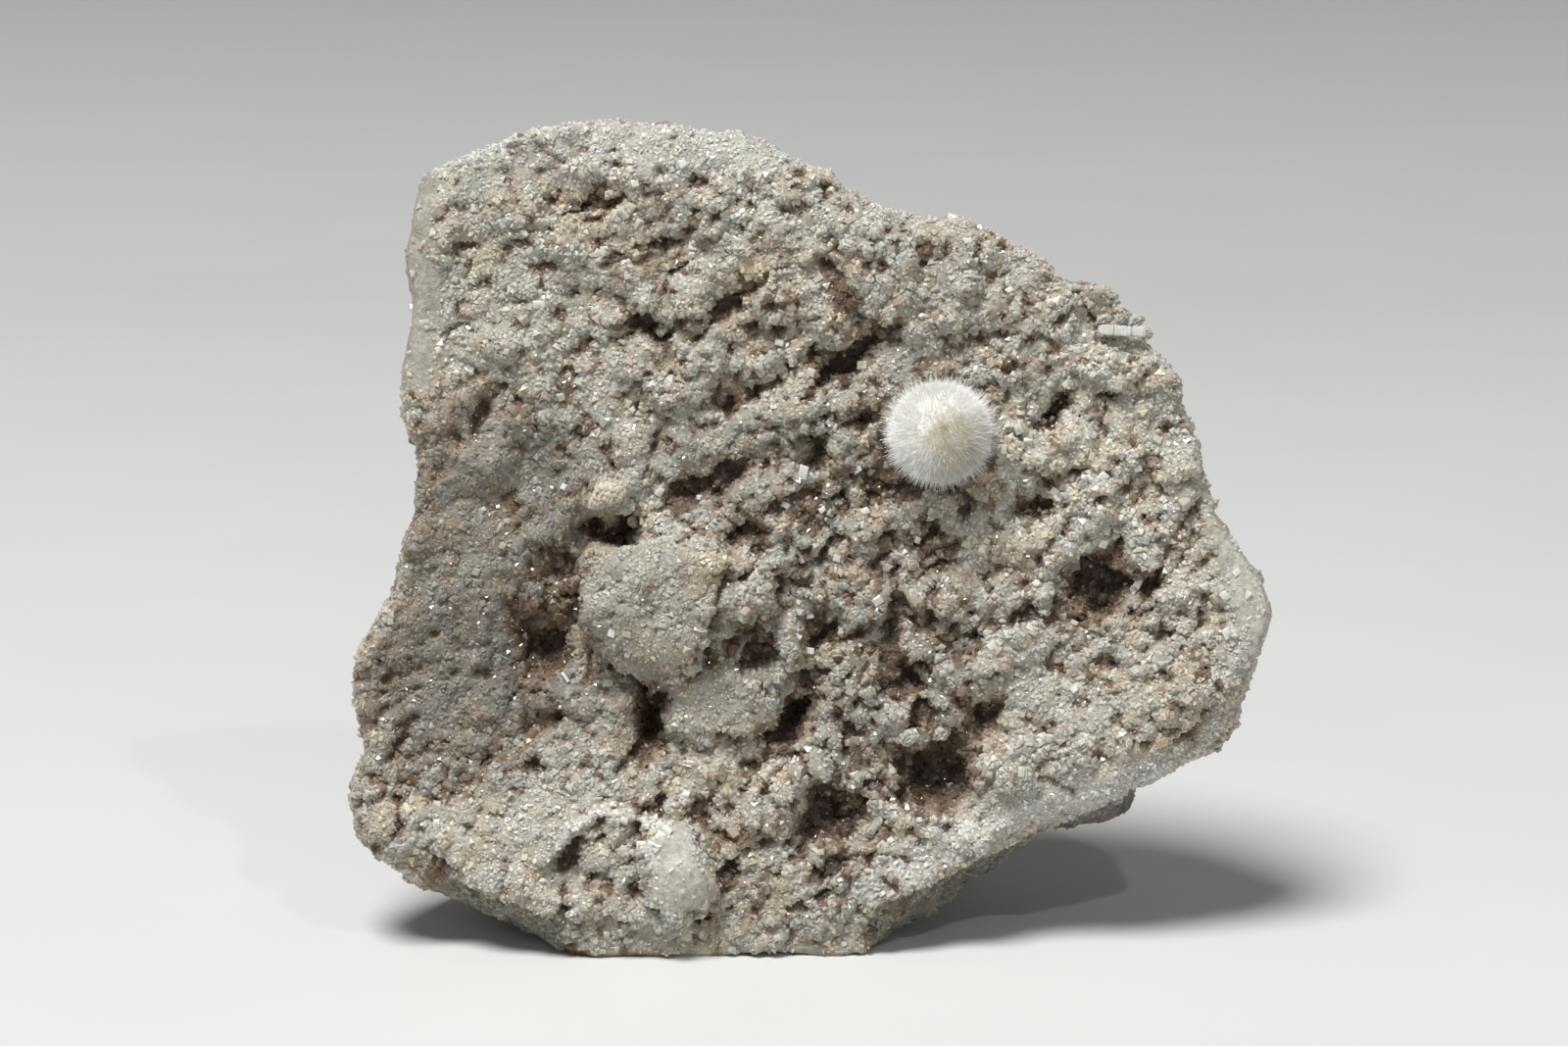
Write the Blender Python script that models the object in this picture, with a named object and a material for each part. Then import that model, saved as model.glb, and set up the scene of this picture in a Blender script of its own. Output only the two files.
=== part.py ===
"""A standing piece of matrix covered in small pale crystals, with one bavenite ball on it.

Everything is in metres, +Z up. The crystal-covered face looks towards -Y and leans back a
little, and the piece rests on a flat patch of its broken underside, in the plane Z = 0.
Shapes are drawn in the face's own frame: across (to the right), up (along the leaning face)
and out (square to the face, towards the viewer), in millimetres.
"""

import math

import bmesh
import bpy
from mathutils import Matrix, Vector, noise
from mathutils.geometry import delaunay_2d_cdt

MM = 0.001

# How the face stands
LEAN = math.radians(12.0)

# Rim of the piece seen square to its face, clockwise from the top left corner, in millimetres
RIM = [
    (-38.2, 76.0), (-33.3, 78.0), (-27.6, 80.3), (-22.4, 81.1), (-19.1, 81.3), (-15.5, 80.7),
    (-13.3, 81.2), (-10.5, 80.1), (-6.5, 80.3), (-1.0, 77.0), (1.6, 76.3), (3.6, 73.8),
    (5.4, 73.6), (7.2, 72.7), (12.8, 71.6), (14.4, 71.9), (16.4, 71.1), (17.8, 69.8),
    (22.1, 68.1), (24.4, 65.4), (28.0, 65.4), (29.9, 64.3), (31.2, 62.1), (32.2, 60.8),
    (33.1, 58.7), (35.2, 57.2), (35.9, 55.7), (35.4, 54.0), (37.7, 50.0), (37.9, 47.6),
    (39.7, 42.3), (43.6, 37.1), (43.8, 36.0), (45.1, 33.7), (44.6, 31.6), (42.0, 25.7),
    (41.6, 22.6), (40.9, 21.0), (39.0, 19.6), (35.9, 18.7), (35.4, 17.6), (31.4, 16.2),
    (31.0, 14.6), (28.0, 12.6), (24.5, 12.4), (22.2, 11.7), (19.1, 10.0), (15.1, 6.8),
    (11.2, 3.8), (7.9, 1.7), (5.4, 0.2), (3.9, -0.5), (-5.6, -0.2), (-14.7, -0.8),
    (-22.4, -0.6), (-24.8, 0.2), (-27.7, 2.1), (-33.8, 4.8), (-39.7, 7.3), (-43.5, 10.1),
    (-44.9, 12.0), (-45.0, 16.7), (-43.5, 21.2), (-44.7, 22.9), (-44.7, 28.1), (-44.1, 30.2),
    (-40.3, 36.5), (-40.4, 38.1), (-39.0, 43.6), (-38.6, 49.1), (-39.5, 50.0), (-40.3, 54.2),
    (-40.3, 56.8), (-39.0, 62.9), (-40.0, 67.8), (-38.9, 73.1),
]
RIM_STEP = 2.0
RIM_ROUGHNESS = 0.22
RIM_LUMP_SPACING = 1.3

# Width of the bare broken side that shows round the face, widest under its lower edges
SIDE_BAND = 0.7
LOWER_RIGHT_BAND = 2.3
LOWER_RIGHT_ACROSS = (8.0, 31.5)
LOWER_RIGHT_TOP = 16.5
LOWER_LEFT_BAND = 2.4
LOWER_LEFT_ACROSS = (-37.0, -25.5)
LOWER_LEFT_TOP = 7.0

# Loops down the broken sides: depth behind the face as a share of the thickness, then how
# far the loop has drawn in towards the foot, then how rough it is in millimetres
SIDE_LOOPS = [
    (0.14, 0.000, 0.00),
    (0.28, 0.020, 0.60),
    (0.43, 0.045, 1.00),
    (0.58, 0.080, 1.20),
    (0.73, 0.115, 1.20),
    (0.87, 0.155, 1.00),
    (1.00, 0.210, 0.60),
]
DRAW_IN_TO = (-5.0, 9.0)
SIDE_LUMP_SPACING = 4.5
SIDE_LUMP_DRIFT = 8.0
FOOT_THICKNESS = 30.0
TOP_THICKNESS = 17.0
FACE_HEIGHT = 81.0

# Broken facets behind the rim: a point (across, up, out) on each and the way it looks
CHIPS = [
    ((-38.0, 70.0, -9.0), (-0.60, 0.55, -0.58)),
    ((-8.0, 76.0, -9.0), (0.10, 0.75, -0.65)),
    ((24.0, 62.0, -9.0), (0.55, 0.50, -0.67)),
    ((41.0, 34.0, -9.0), (0.80, 0.10, -0.60)),
    ((-39.5, 45.0, -10.0), (-0.82, 0.05, -0.57)),
    ((-41.0, 18.0, -15.0), (-0.70, -0.25, -0.67)),
    ((34.0, 21.0, -13.0), (0.60, -0.45, -0.66)),
    ((6.0, 48.0, -20.5), (0.24, 0.22, -0.95)),
    ((-22.0, 38.0, -23.0), (-0.30, -0.06, -0.95)),
    ((16.0, 20.0, -24.5), (0.34, -0.10, -0.93)),
]

# Swells and lumps of the broken back
BACK_SWELL = 2.2
BACK_SWELL_SPACING = 17.0
BACK_LUMP = 1.3
BACK_LUMP_SPACING = 6.0

# Share of what stands proud of a facet that has broken away
CHIP_SHARE = 0.9

# Spacing of the points on the face and on the back
FACE_STEP = 1.95
BACK_STEP = 3.3
ROW_SHARE = math.sqrt(3.0) / 2.0
STEP_JITTER = 0.18
JITTER_SPACING = 1.7
KEEP_OFF = 0.62

# Relief of the whole face, as broad swells: across, up, half width, half height, out
SWELLS = [
    (-25.0, 5.0, 16.0, 11.0, 2.8),
    (-27.0, 37.0, 13.0, 15.0, -2.2),
    (30.0, 17.0, 16.0, 13.0, 2.2),
    (2.0, 68.0, 22.0, 10.0, 1.2),
    (-12.0, 33.0, 9.0, 8.0, 1.2),
    (6.0, 8.0, 12.0, 9.0, 1.0),
]

# Pits and grooves: across, up, half length, half width, turn in degrees, depth
PITS = [
    (-22.1, 73.4, 4.6, 1.5, 4, 2.0),
    (-14.3, 69.0, 3.2, 1.9, 20, 1.6),
    (-9.1, 63.0, 3.8, 1.6, 35, 1.8),
    (-16.2, 61.4, 3.4, 1.5, 15, 1.6),
    (3.6, 58.5, 5.4, 1.9, 38, 2.4),
    (-32.8, 51.9, 3.2, 1.4, 45, 1.6),
    (-7.1, 54.2, 3.4, 1.6, 25, 1.6),
    (2.9, 51.9, 2.6, 1.9, 10, 1.6),
    (6.2, 45.6, 2.8, 2.2, 40, 3.0),
    (22.8, 52.3, 2.6, 1.8, 60, 2.0),
    (24.7, 47.1, 3.2, 1.6, 20, 1.8),
    (20.9, 43.3, 2.8, 1.8, 20, 1.8),
    (10.5, 40.9, 2.2, 1.5, 90, 2.4),
    (-10.0, 46.6, 4.8, 1.8, 20, 2.0),
    (-20.0, 41.6, 3.0, 1.8, 10, 3.0),
    (-23.8, 37.5, 4.6, 2.2, 20, 1.8),
    (-26.6, 30.0, 3.8, 3.6, 0, 3.4),
    (-15.7, 23.8, 4.8, 1.9, 90, 3.8),
    (-18.2, 28.1, 2.0, 1.6, 0, 2.0),
    (-27.1, 22.4, 2.6, 1.6, 30, 1.8),
    (1.0, 31.0, 2.6, 1.7, 20, 2.0),
    (-2.4, 23.0, 3.8, 2.2, 40, 2.8),
    (-5.7, 18.6, 1.9, 2.1, 0, 1.6),
    (1.4, 13.3, 3.8, 3.3, 30, 3.0),
    (0.6, 7.2, 1.8, 1.9, 0, 1.8),
    (-24.0, 8.8, 3.0, 2.2, 60, 2.0),
    (27.6, 35.7, 3.9, 2.9, -10, 3.4),
    (31.8, 36.5, 2.8, 1.9, 0, 1.6),
    (9.5, 27.2, 2.6, 1.6, -30, 2.0),
    (14.3, 31.0, 2.9, 1.4, 15, 1.5),
    (16.2, 22.4, 3.2, 1.9, 75, 2.4),
    (12.4, 17.7, 3.8, 3.3, 75, 4.0),
    (21.5, 15.0, 7.5, 2.0, 12, 1.4),
]

# How far a pit reaches, in its own half sizes
PIT_REACH = 1.35

# Flat-topped blocks that stand out of the face: corners, then height
BLOCKS = [
    ([(-21.0, 39.1), (-8.7, 40.8), (-8.7, 37.0), (-3.6, 36.6), (-4.4, 33.0), (-13.0, 31.0),
      (-16.6, 29.2), (-19.0, 29.8), (-19.8, 33.6), (-21.2, 36.0)], 1.7),
    ([(-16.4, 12.2), (-10.4, 12.6), (-9.6, 5.6), (-15.0, 4.4)], 1.3),
    ([(-21.2, 43.6), (-19.0, 46.0), (-17.6, 45.0), (-17.9, 42.8), (-19.6, 42.2)], 1.9),
]
BLOCK_EDGE = 0.9

# Ledges that climb to the right across the whole face
LEDGE_TURN = math.radians(32.0)
LEDGE_STRETCH = 2.6
LEDGE_SPACING = 7.0
LEDGE_HEIGHT = 0.9
KNOB_SPACING = 3.6
KNOB_HEIGHT = 0.55
RIM_FADE = 3.0

# The bavenite ball, out to its needle tips, and the bowl that it grew in
BALL_AT = (12.2, 50.7)
BALL_RADIUS = 6.0
BALL_LIFT = 1.7
BOWL_RADIUS = 6.4
BOWL_RIM = 0.5
BOWL_STEP = 1.9
BOWL_ANGLES = (20, 38, 55, 71)
BALL_LEVEL = 0.3
BALL_SHELF = 10.5

# The white prism crystal that lies on the rim
PRISM_AT = (29.85, 60.6)
PRISM_LENGTH = 4.6
PRISM_HEIGHT = 1.15
PRISM_DEPTH = 1.20
PRISM_TILT = math.radians(-3.0)
PRISM_SEAT = -0.55
PRISM_SEAT_REACH = 2.4
PRISM_SIDES = 8
PRISM_STATIONS = [
    (-0.50, 0.72), (-0.46, 0.94), (-0.20, 1.00), (-0.17, 0.90), (-0.14, 1.00),
    (0.18, 1.00), (0.21, 0.91), (0.24, 0.98), (0.46, 0.92), (0.50, 0.70),
]

# Gap kept between pieces that touch
GAP = 0.3
# Points this close to the resting plane are put on it
FLAT_WITHIN = 0.35


def face_to_world(across, up, out):
    """A point of the face's frame, in millimetres, as a point in metres."""
    y = up * math.sin(LEAN) - out * math.cos(LEAN)
    z = up * math.cos(LEAN) + out * math.sin(LEAN)
    return Vector((across, y, z)) * MM


def smooth_step(share):
    share = min(max(share, 0.0), 1.0)
    return share * share * (3.0 - 2.0 * share)


def wobble(x, y, spacing, seed):
    """Smooth noise between about -1 and 1, with swells about this far apart."""
    return noise.noise(Vector((x / spacing, y / spacing, seed)))


def turned(x, y, angle):
    """Coordinates along and across a direction that is turned by this angle."""
    along = x * math.cos(angle) + y * math.sin(angle)
    beside = -x * math.sin(angle) + y * math.cos(angle)
    return along, beside


def edge_distance(x, y, corners):
    """Signed distance from a point to a closed outline: positive inside."""
    inside = False
    nearest = math.inf
    for (ax, ay), (bx, by) in zip(corners, corners[1:] + corners[:1]):
        if (ay > y) != (by > y) and x < ax + (y - ay) * (bx - ax) / (by - ay):
            inside = not inside
        run_x, run_y = bx - ax, by - ay
        share = ((x - ax) * run_x + (y - ay) * run_y) / (run_x * run_x + run_y * run_y)
        share = min(max(share, 0.0), 1.0)
        nearest = min(nearest, math.hypot(x - ax - share * run_x, y - ay - share * run_y))
    return nearest if inside else -nearest


def spaced_loop(corners, step):
    """Points at even steps round a closed outline, roughened a little."""
    runs = list(zip(corners, corners[1:] + corners[:1]))
    lengths = [math.dist(a, b) for a, b in runs]
    count = round(sum(lengths) / step)
    wanted = [sum(lengths) * i / count for i in range(count)]
    points = []
    walked = 0.0
    for (a, b), length in zip(runs, lengths):
        while wanted and wanted[0] < walked + length:
            share = (wanted.pop(0) - walked) / length
            x = a[0] + (b[0] - a[0]) * share
            y = a[1] + (b[1] - a[1]) * share
            x += RIM_ROUGHNESS * wobble(x, y, RIM_LUMP_SPACING, 3.1)
            y += RIM_ROUGHNESS * wobble(x, y, RIM_LUMP_SPACING, 7.7)
            points.append((x, y))
        walked += length
    return points


def inward(loop, index):
    """Unit direction into the piece at a point of its clockwise rim."""
    before, after = loop[index - 2], loop[(index + 2) % len(loop)]
    run = Vector((after[0] - before[0], after[1] - before[1])).normalized()
    return run.y, -run.x


def band_width(across, up):
    """Width of the bare side that shows outside the face."""
    low, high = LOWER_RIGHT_ACROSS
    if up < LOWER_RIGHT_TOP and low < across < high:
        return LOWER_RIGHT_BAND
    low, high = LOWER_LEFT_ACROSS
    if up < LOWER_LEFT_TOP and low < across < high:
        return LOWER_LEFT_BAND
    return SIDE_BAND


def thickness(up):
    share = min(max(up / FACE_HEIGHT, 0.0), 1.0)
    return FOOT_THICKNESS + (TOP_THICKNESS - FOOT_THICKNESS) * share


def pit_depth(across, up):
    deepest = 0.0
    for x, y, half_length, half_width, turn, depth in PITS:
        along, beside = turned(across - x, up - y, math.radians(turn))
        reach = math.hypot(along / half_length, beside / half_width)
        deepest = max(deepest, depth * smooth_step(PIT_REACH - reach))
    return deepest


def block_height(across, up):
    return max(
        height * smooth_step(0.5 + edge_distance(across, up, corners) / (2.0 * BLOCK_EDGE))
        for corners, height in BLOCKS
    )


def open_face(across, up):
    """How far out the crystal-covered face lies, without the ball's bowl."""
    out = sum(
        height * math.exp(-((across - x) / wide) ** 2 - ((up - y) / high) ** 2)
        for x, y, wide, high, height in SWELLS
    )
    along, beside = turned(across, up, LEDGE_TURN)
    out += LEDGE_HEIGHT * wobble(along / LEDGE_STRETCH, beside, LEDGE_SPACING, 11.0)
    out += KNOB_HEIGHT * wobble(across, up, KNOB_SPACING, 23.0)
    block = block_height(across, up)
    out += block - pit_depth(across, up) * (1.0 - smooth_step(block))
    return out * smooth_step(edge_distance(across, up, RIM) / RIM_FADE)


def face_point(across, up):
    """A point of the finished face, with the bowl and the prism's seat."""
    out = open_face(across, up)
    from_ball = math.dist((across, up), BALL_AT)
    shelf = smooth_step((BALL_SHELF - from_ball) / (BALL_SHELF - BOWL_RADIUS))
    out += (BALL_LEVEL - out) * shelf
    if from_ball < BOWL_RADIUS:
        bowl = BALL_LEVEL + BALL_LIFT - math.sqrt(BOWL_RADIUS**2 - from_ball**2)
        out = min(out, bowl)
    from_prism = max(
        abs(across - PRISM_AT[0]) - PRISM_LENGTH / 2.0,
        abs(up - PRISM_AT[1]) - PRISM_HEIGHT / 2.0,
    )
    if from_prism < PRISM_SEAT_REACH:
        out = min(out, PRISM_SEAT)
    return across, up, out


def back_point(across, up):
    """A point of the broken back."""
    out = -thickness(up)
    out += BACK_SWELL * wobble(across, up, BACK_SWELL_SPACING, 41.0)
    out += BACK_LUMP * wobble(across, up, BACK_LUMP_SPACING, 43.0)
    return chipped(across, up, out)


def chipped(across, up, out):
    """A point of the sides or the back, brought in to the broken facets."""
    point = Vector((across, up, out))
    for on_it, faces in CHIPS:
        normal = Vector(faces).normalized()
        proud = (point - Vector(on_it)).dot(normal)
        if proud > 0.0:
            point -= normal * proud * CHIP_SHARE
    return point


def grid_points(loop, step, keep_off):
    """Points of a triangular grid inside a loop, at least this far from it."""
    xs = [x for x, _ in loop]
    ys = [y for _, y in loop]
    rows = int((max(ys) - min(ys)) / (step * ROW_SHARE)) + 1
    columns = int((max(xs) - min(xs)) / step) + 2
    found = []
    for row in range(rows):
        for column in range(columns):
            x = min(xs) + (column - 0.5 * (row % 2)) * step
            y = min(ys) + row * step * ROW_SHARE
            x += STEP_JITTER * step * wobble(x, y, JITTER_SPACING, 61.0)
            y += STEP_JITTER * step * wobble(x, y, JITTER_SPACING, 67.0)
            if edge_distance(x, y, loop) > keep_off:
                found.append((x, y))
    return found


def bowl_points():
    """Rings of points down the bowl, close enough that its wall stays clear of the ball."""
    points = [BALL_AT]
    for angle in BOWL_ANGLES:
        radius = BOWL_RADIUS * math.sin(math.radians(angle))
        count = round(2.0 * math.pi * radius / BOWL_STEP)
        for i in range(count):
            turn = 2.0 * math.pi * (i + angle / 90.0) / count
            x = BALL_AT[0] + radius * math.cos(turn)
            points.append((x, BALL_AT[1] + radius * math.sin(turn)))
    return points


def add_sheet(mesh, loop, points, place):
    """Adds a triangulated sheet inside a loop, and gives back its rim vertices in order."""
    flat = [Vector(point) for point in loop + points]
    coords, _, faces, origins, _, _ = delaunay_2d_cdt(flat, [], [list(range(len(loop)))], 1, 1e-5)
    verts = [mesh.verts.new(face_to_world(*place(co.x, co.y))) for co in coords]
    for face in faces:
        mesh.faces.new([verts[index] for index in face])
    rim = [None] * len(loop)
    for vert, sources in zip(verts, origins):
        for source in sources:
            if source < len(loop):
                rim[source] = vert
    return rim


def add_belt(mesh, first, second):
    """Joins two loops of vertices by a belt of faces."""
    for i in range(len(first)):
        mesh.faces.new((first[i - 1], first[i], second[i], second[i - 1]))


def side_loops(rim):
    """The loops of points that run round the broken sides, from the face to the back."""
    loops = []
    for depth, draw_in, rough in SIDE_LOOPS:
        loop = []
        for x, y in rim:
            jitter = rough * wobble(x, y, SIDE_LUMP_SPACING, SIDE_LUMP_DRIFT * depth)
            run = Vector((x - DRAW_IN_TO[0], y - DRAW_IN_TO[1]))
            across = x - run.x * draw_in + jitter * run.normalized().x
            up = y - run.y * draw_in + jitter * run.normalized().y
            point = (across, up, -depth * thickness(y))
            loop.append(chipped(*point) if rough else point)
        loops.append(loop)
    return loops


def cut_flat(mesh):
    """Cuts the underside off in the resting plane and closes it with a flat face."""
    for vert in mesh.verts:
        if abs(vert.co.z) < FLAT_WITHIN * MM:
            vert.co.z = 0.0
    bmesh.ops.bisect_plane(
        mesh,
        geom=mesh.verts[:] + mesh.edges[:] + mesh.faces[:],
        dist=1e-7,
        plane_co=(0.0, 0.0, 0.0),
        plane_no=(0.0, 0.0, -1.0),
        clear_outer=True,
    )
    open_edges = [edge for edge in mesh.edges if edge.is_boundary]
    bmesh.ops.triangle_fill(mesh, edges=open_edges, use_beauty=True, normal=(0.0, 0.0, -1.0))


def material(name, colour, roughness):
    made = bpy.data.materials.new(name)
    made.use_nodes = True
    shader = made.node_tree.nodes["Principled BSDF"]
    shader.inputs["Base Color"].default_value = (*colour, 1.0)
    shader.inputs["Roughness"].default_value = roughness
    shader.inputs["Metallic"].default_value = 0.0
    made.diffuse_color = (*colour, 1.0)
    return made


def finish_object(name, mesh, surface, parent):
    """Makes one object of a bmesh, with its faces turned outwards."""
    bmesh.ops.triangulate(mesh, faces=mesh.faces[:])
    bmesh.ops.recalc_face_normals(mesh, faces=mesh.faces[:])
    data = bpy.data.meshes.new(name)
    mesh.to_mesh(data)
    mesh.free()
    data.materials.append(surface)
    made = bpy.data.objects.new(name, data)
    made.parent = parent
    bpy.context.scene.collection.objects.link(made)
    return made


def make_matrix(parent):
    """The matrix with its crystal-covered face, broken sides, broken back and flat foot."""
    mesh = bmesh.new()
    rim = spaced_loop(RIM, RIM_STEP)
    front = []
    for index, (x, y) in enumerate(rim):
        into_x, into_y = inward(rim, index)
        band = band_width(x, y)
        front.append((x + into_x * band, y + into_y * band))
    points = grid_points(front, FACE_STEP, KEEP_OFF * FACE_STEP)
    points = [point for point in points if math.dist(point, BALL_AT) > BOWL_RADIUS + BOWL_RIM]
    last = add_sheet(mesh, front, points + bowl_points(), face_point)
    loops = side_loops(rim)
    for loop in loops[:-1]:
        verts = [mesh.verts.new(face_to_world(*point)) for point in loop]
        add_belt(mesh, last, verts)
        last = verts
    back = [(point[0], point[1]) for point in loops[-1]]
    points = grid_points(back, BACK_STEP, KEEP_OFF * BACK_STEP)
    back_rim = add_sheet(mesh, back, points, back_point)
    for vert, point in zip(back_rim, loops[-1]):
        vert.co = face_to_world(*point)
    add_belt(mesh, last, back_rim)
    bmesh.ops.recalc_face_normals(mesh, faces=mesh.faces[:])
    cut_flat(mesh)
    surface = material("matrix_stone", (0.52, 0.48, 0.41), 0.55)
    return finish_object("matrix", mesh, surface, parent)


def make_ball(parent):
    """The bavenite ball: a plain round solid that reaches its needle tips."""
    mesh = bmesh.new()
    bmesh.ops.create_icosphere(mesh, subdivisions=3, radius=BALL_RADIUS * MM)
    centre = face_to_world(*BALL_AT, BALL_LEVEL + BALL_LIFT)
    bmesh.ops.translate(mesh, verts=mesh.verts[:], vec=centre)
    surface = material("bavenite_needles", (0.86, 0.85, 0.81), 0.70)
    made = finish_object("bavenite_ball", mesh, surface, parent)
    made.data.shade_smooth()
    return made


def make_prism(parent):
    """The prism crystal: an eight-sided bar with two cross cracks."""
    mesh = bmesh.new()
    loops = []
    for place, share in PRISM_STATIONS:
        loop = []
        for side in range(PRISM_SIDES):
            turn = 2.0 * math.pi * (side + 0.5) / PRISM_SIDES
            up = 0.5 * PRISM_HEIGHT * share * math.sin(turn) / math.cos(math.pi / PRISM_SIDES)
            out = 0.5 * PRISM_DEPTH * share * math.cos(turn) / math.cos(math.pi / PRISM_SIDES)
            loop.append(mesh.verts.new((place * PRISM_LENGTH, up, out)))
        loops.append(loop)
    for first, second in zip(loops, loops[1:]):
        add_belt(mesh, first, second)
    mesh.faces.new(loops[0])
    mesh.faces.new(loops[-1])
    bmesh.ops.rotate(mesh, verts=mesh.verts[:], matrix=Matrix.Rotation(PRISM_TILT, 3, "Z"))
    level = PRISM_SEAT + GAP + 0.5 * PRISM_DEPTH
    for vert in mesh.verts:
        vert.co = face_to_world(
            PRISM_AT[0] + vert.co.x, PRISM_AT[1] + vert.co.y, level + vert.co.z
        )
    surface = material("prism_white", (0.83, 0.82, 0.78), 0.30)
    return finish_object("prism_crystal", mesh, surface, parent)


def centre_over_box(empty, made):
    """Moves the piece so that the middle of its box, at the bottom, is the world's origin."""
    corners = [vert.co for obj in made for vert in obj.data.vertices]
    for axis in (0, 1):
        values = [co[axis] for co in corners]
        empty.location[axis] = -0.5 * (min(values) + max(values))


def main():
    for old in list(bpy.data.objects):
        bpy.data.objects.remove(old, do_unlink=True)
    specimen = bpy.data.objects.new("specimen", None)
    bpy.context.scene.collection.objects.link(specimen)
    made = [make_matrix(specimen), make_ball(specimen), make_prism(specimen)]
    centre_over_box(specimen, made)


main()
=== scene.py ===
"""Looks of a standing stone whose face is covered in small crystals, with a ball of fine
needles and one prism crystal on it.

Shapes are worked out in millimetres with numpy, and turned into metres when a piece is made.
The face has its own frame: across (to the right), up (along the leaning face) and out
(square to the face, towards the viewer), as in the solids.
"""

import math

import bmesh
import bpy
import numpy as np
from mathutils import Euler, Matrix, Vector


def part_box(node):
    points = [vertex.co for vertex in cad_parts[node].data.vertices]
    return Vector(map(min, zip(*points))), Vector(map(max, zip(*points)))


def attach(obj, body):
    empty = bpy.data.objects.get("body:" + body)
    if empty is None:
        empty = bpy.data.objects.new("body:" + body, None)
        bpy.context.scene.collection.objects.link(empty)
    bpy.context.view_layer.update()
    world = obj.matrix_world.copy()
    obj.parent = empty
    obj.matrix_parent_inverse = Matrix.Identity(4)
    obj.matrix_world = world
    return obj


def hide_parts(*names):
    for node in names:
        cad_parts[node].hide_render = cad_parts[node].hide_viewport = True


bl_info = {
    "name": "Crystal-covered stone",
    "version": (1, 0, 0),
    "blender": (4, 5, 0),
    "location": "3D View > Sidebar > Stone",
    "description": "Makes a crystal-covered stone with a ball of fine needles on it",
    "category": "Add Mesh",
}

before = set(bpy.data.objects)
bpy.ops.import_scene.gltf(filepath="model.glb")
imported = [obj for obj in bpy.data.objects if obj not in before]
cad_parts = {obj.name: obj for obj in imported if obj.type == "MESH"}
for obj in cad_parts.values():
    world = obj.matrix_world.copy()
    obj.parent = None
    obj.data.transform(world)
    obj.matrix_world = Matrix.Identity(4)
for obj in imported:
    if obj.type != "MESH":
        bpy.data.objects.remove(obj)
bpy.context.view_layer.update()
MM = 0.001
# The stone's skin, kept under "skin" for the crystals that grow on it
made = {}

# The face's own frame, which the solids share
LEAN = math.radians(12.0)
FACE_AXES = np.array([
    (1.0, 0.0, 0.0),
    (0.0, math.sin(LEAN), math.cos(LEAN)),
    (0.0, -math.cos(LEAN), math.sin(LEAN)),
])
OUTWARD = FACE_AXES[2]
BALL_IN_FACE = np.array((12.2, 50.7, 2.0))
PRISM_IN_FACE = np.array((29.85, 60.6, 0.35))
# How far the crust closes in on the ball, from the solid's wide bowl
BOWL_GAP = 1.15
# How strongly the crystals bend light, and how far red, green and blue light spreads inside them
BENDING = 1.54
SPREADING = (1.0, 0.9, 0.75)
FLOOR_SIDE = 3200.0
# Middle of the picture and the place that the lamps face, in the face's frame
PICTURE_MIDDLE = (-2.85, 42.0, 0.0)
LIT_PLACE = (0.0, 42.0, 0.0)
# Lamps: name, place, width and power
LAMPS = [
    ("key", (-300.0, -460.0, 1180.0), 520.0, 24.5),
    ("front", (330.0, -1250.0, 420.0), 600.0, 1.8),
    ("spark", (420.0, -700.0, 900.0), 40.0, 1.6),
]
# Seeds of the random draws, and how many spots are drawn for each crystal that is kept
CRUST_SEED = 7
BALL_SEED = 19
TRIES = 5
# The ball's core, and a needle's corners as a share of its width from its middle
CORE_POINTS = 12000
NEEDLE_CORNER = 0.58
# The prism crystal: rings along it, sides of a ring, places of its cracks and turn in degrees
PRISM_RINGS = 121
PRISM_SIDES = 24
PRISM_CRACKS = (-0.17, 0.205)
CRACK_WIDTH = 0.013
PRISM_TURN = 3.0
PRISM_SINK = np.array((0.0, 0.0, 0.15))


def middle_of(node):
    """Middle of a node's box, in millimetres."""
    low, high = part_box(node)
    return np.array(low + high) / (2.0 * MM)


FACE_ORIGIN = middle_of("bavenite_ball") - BALL_IN_FACE @ FACE_AXES

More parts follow.
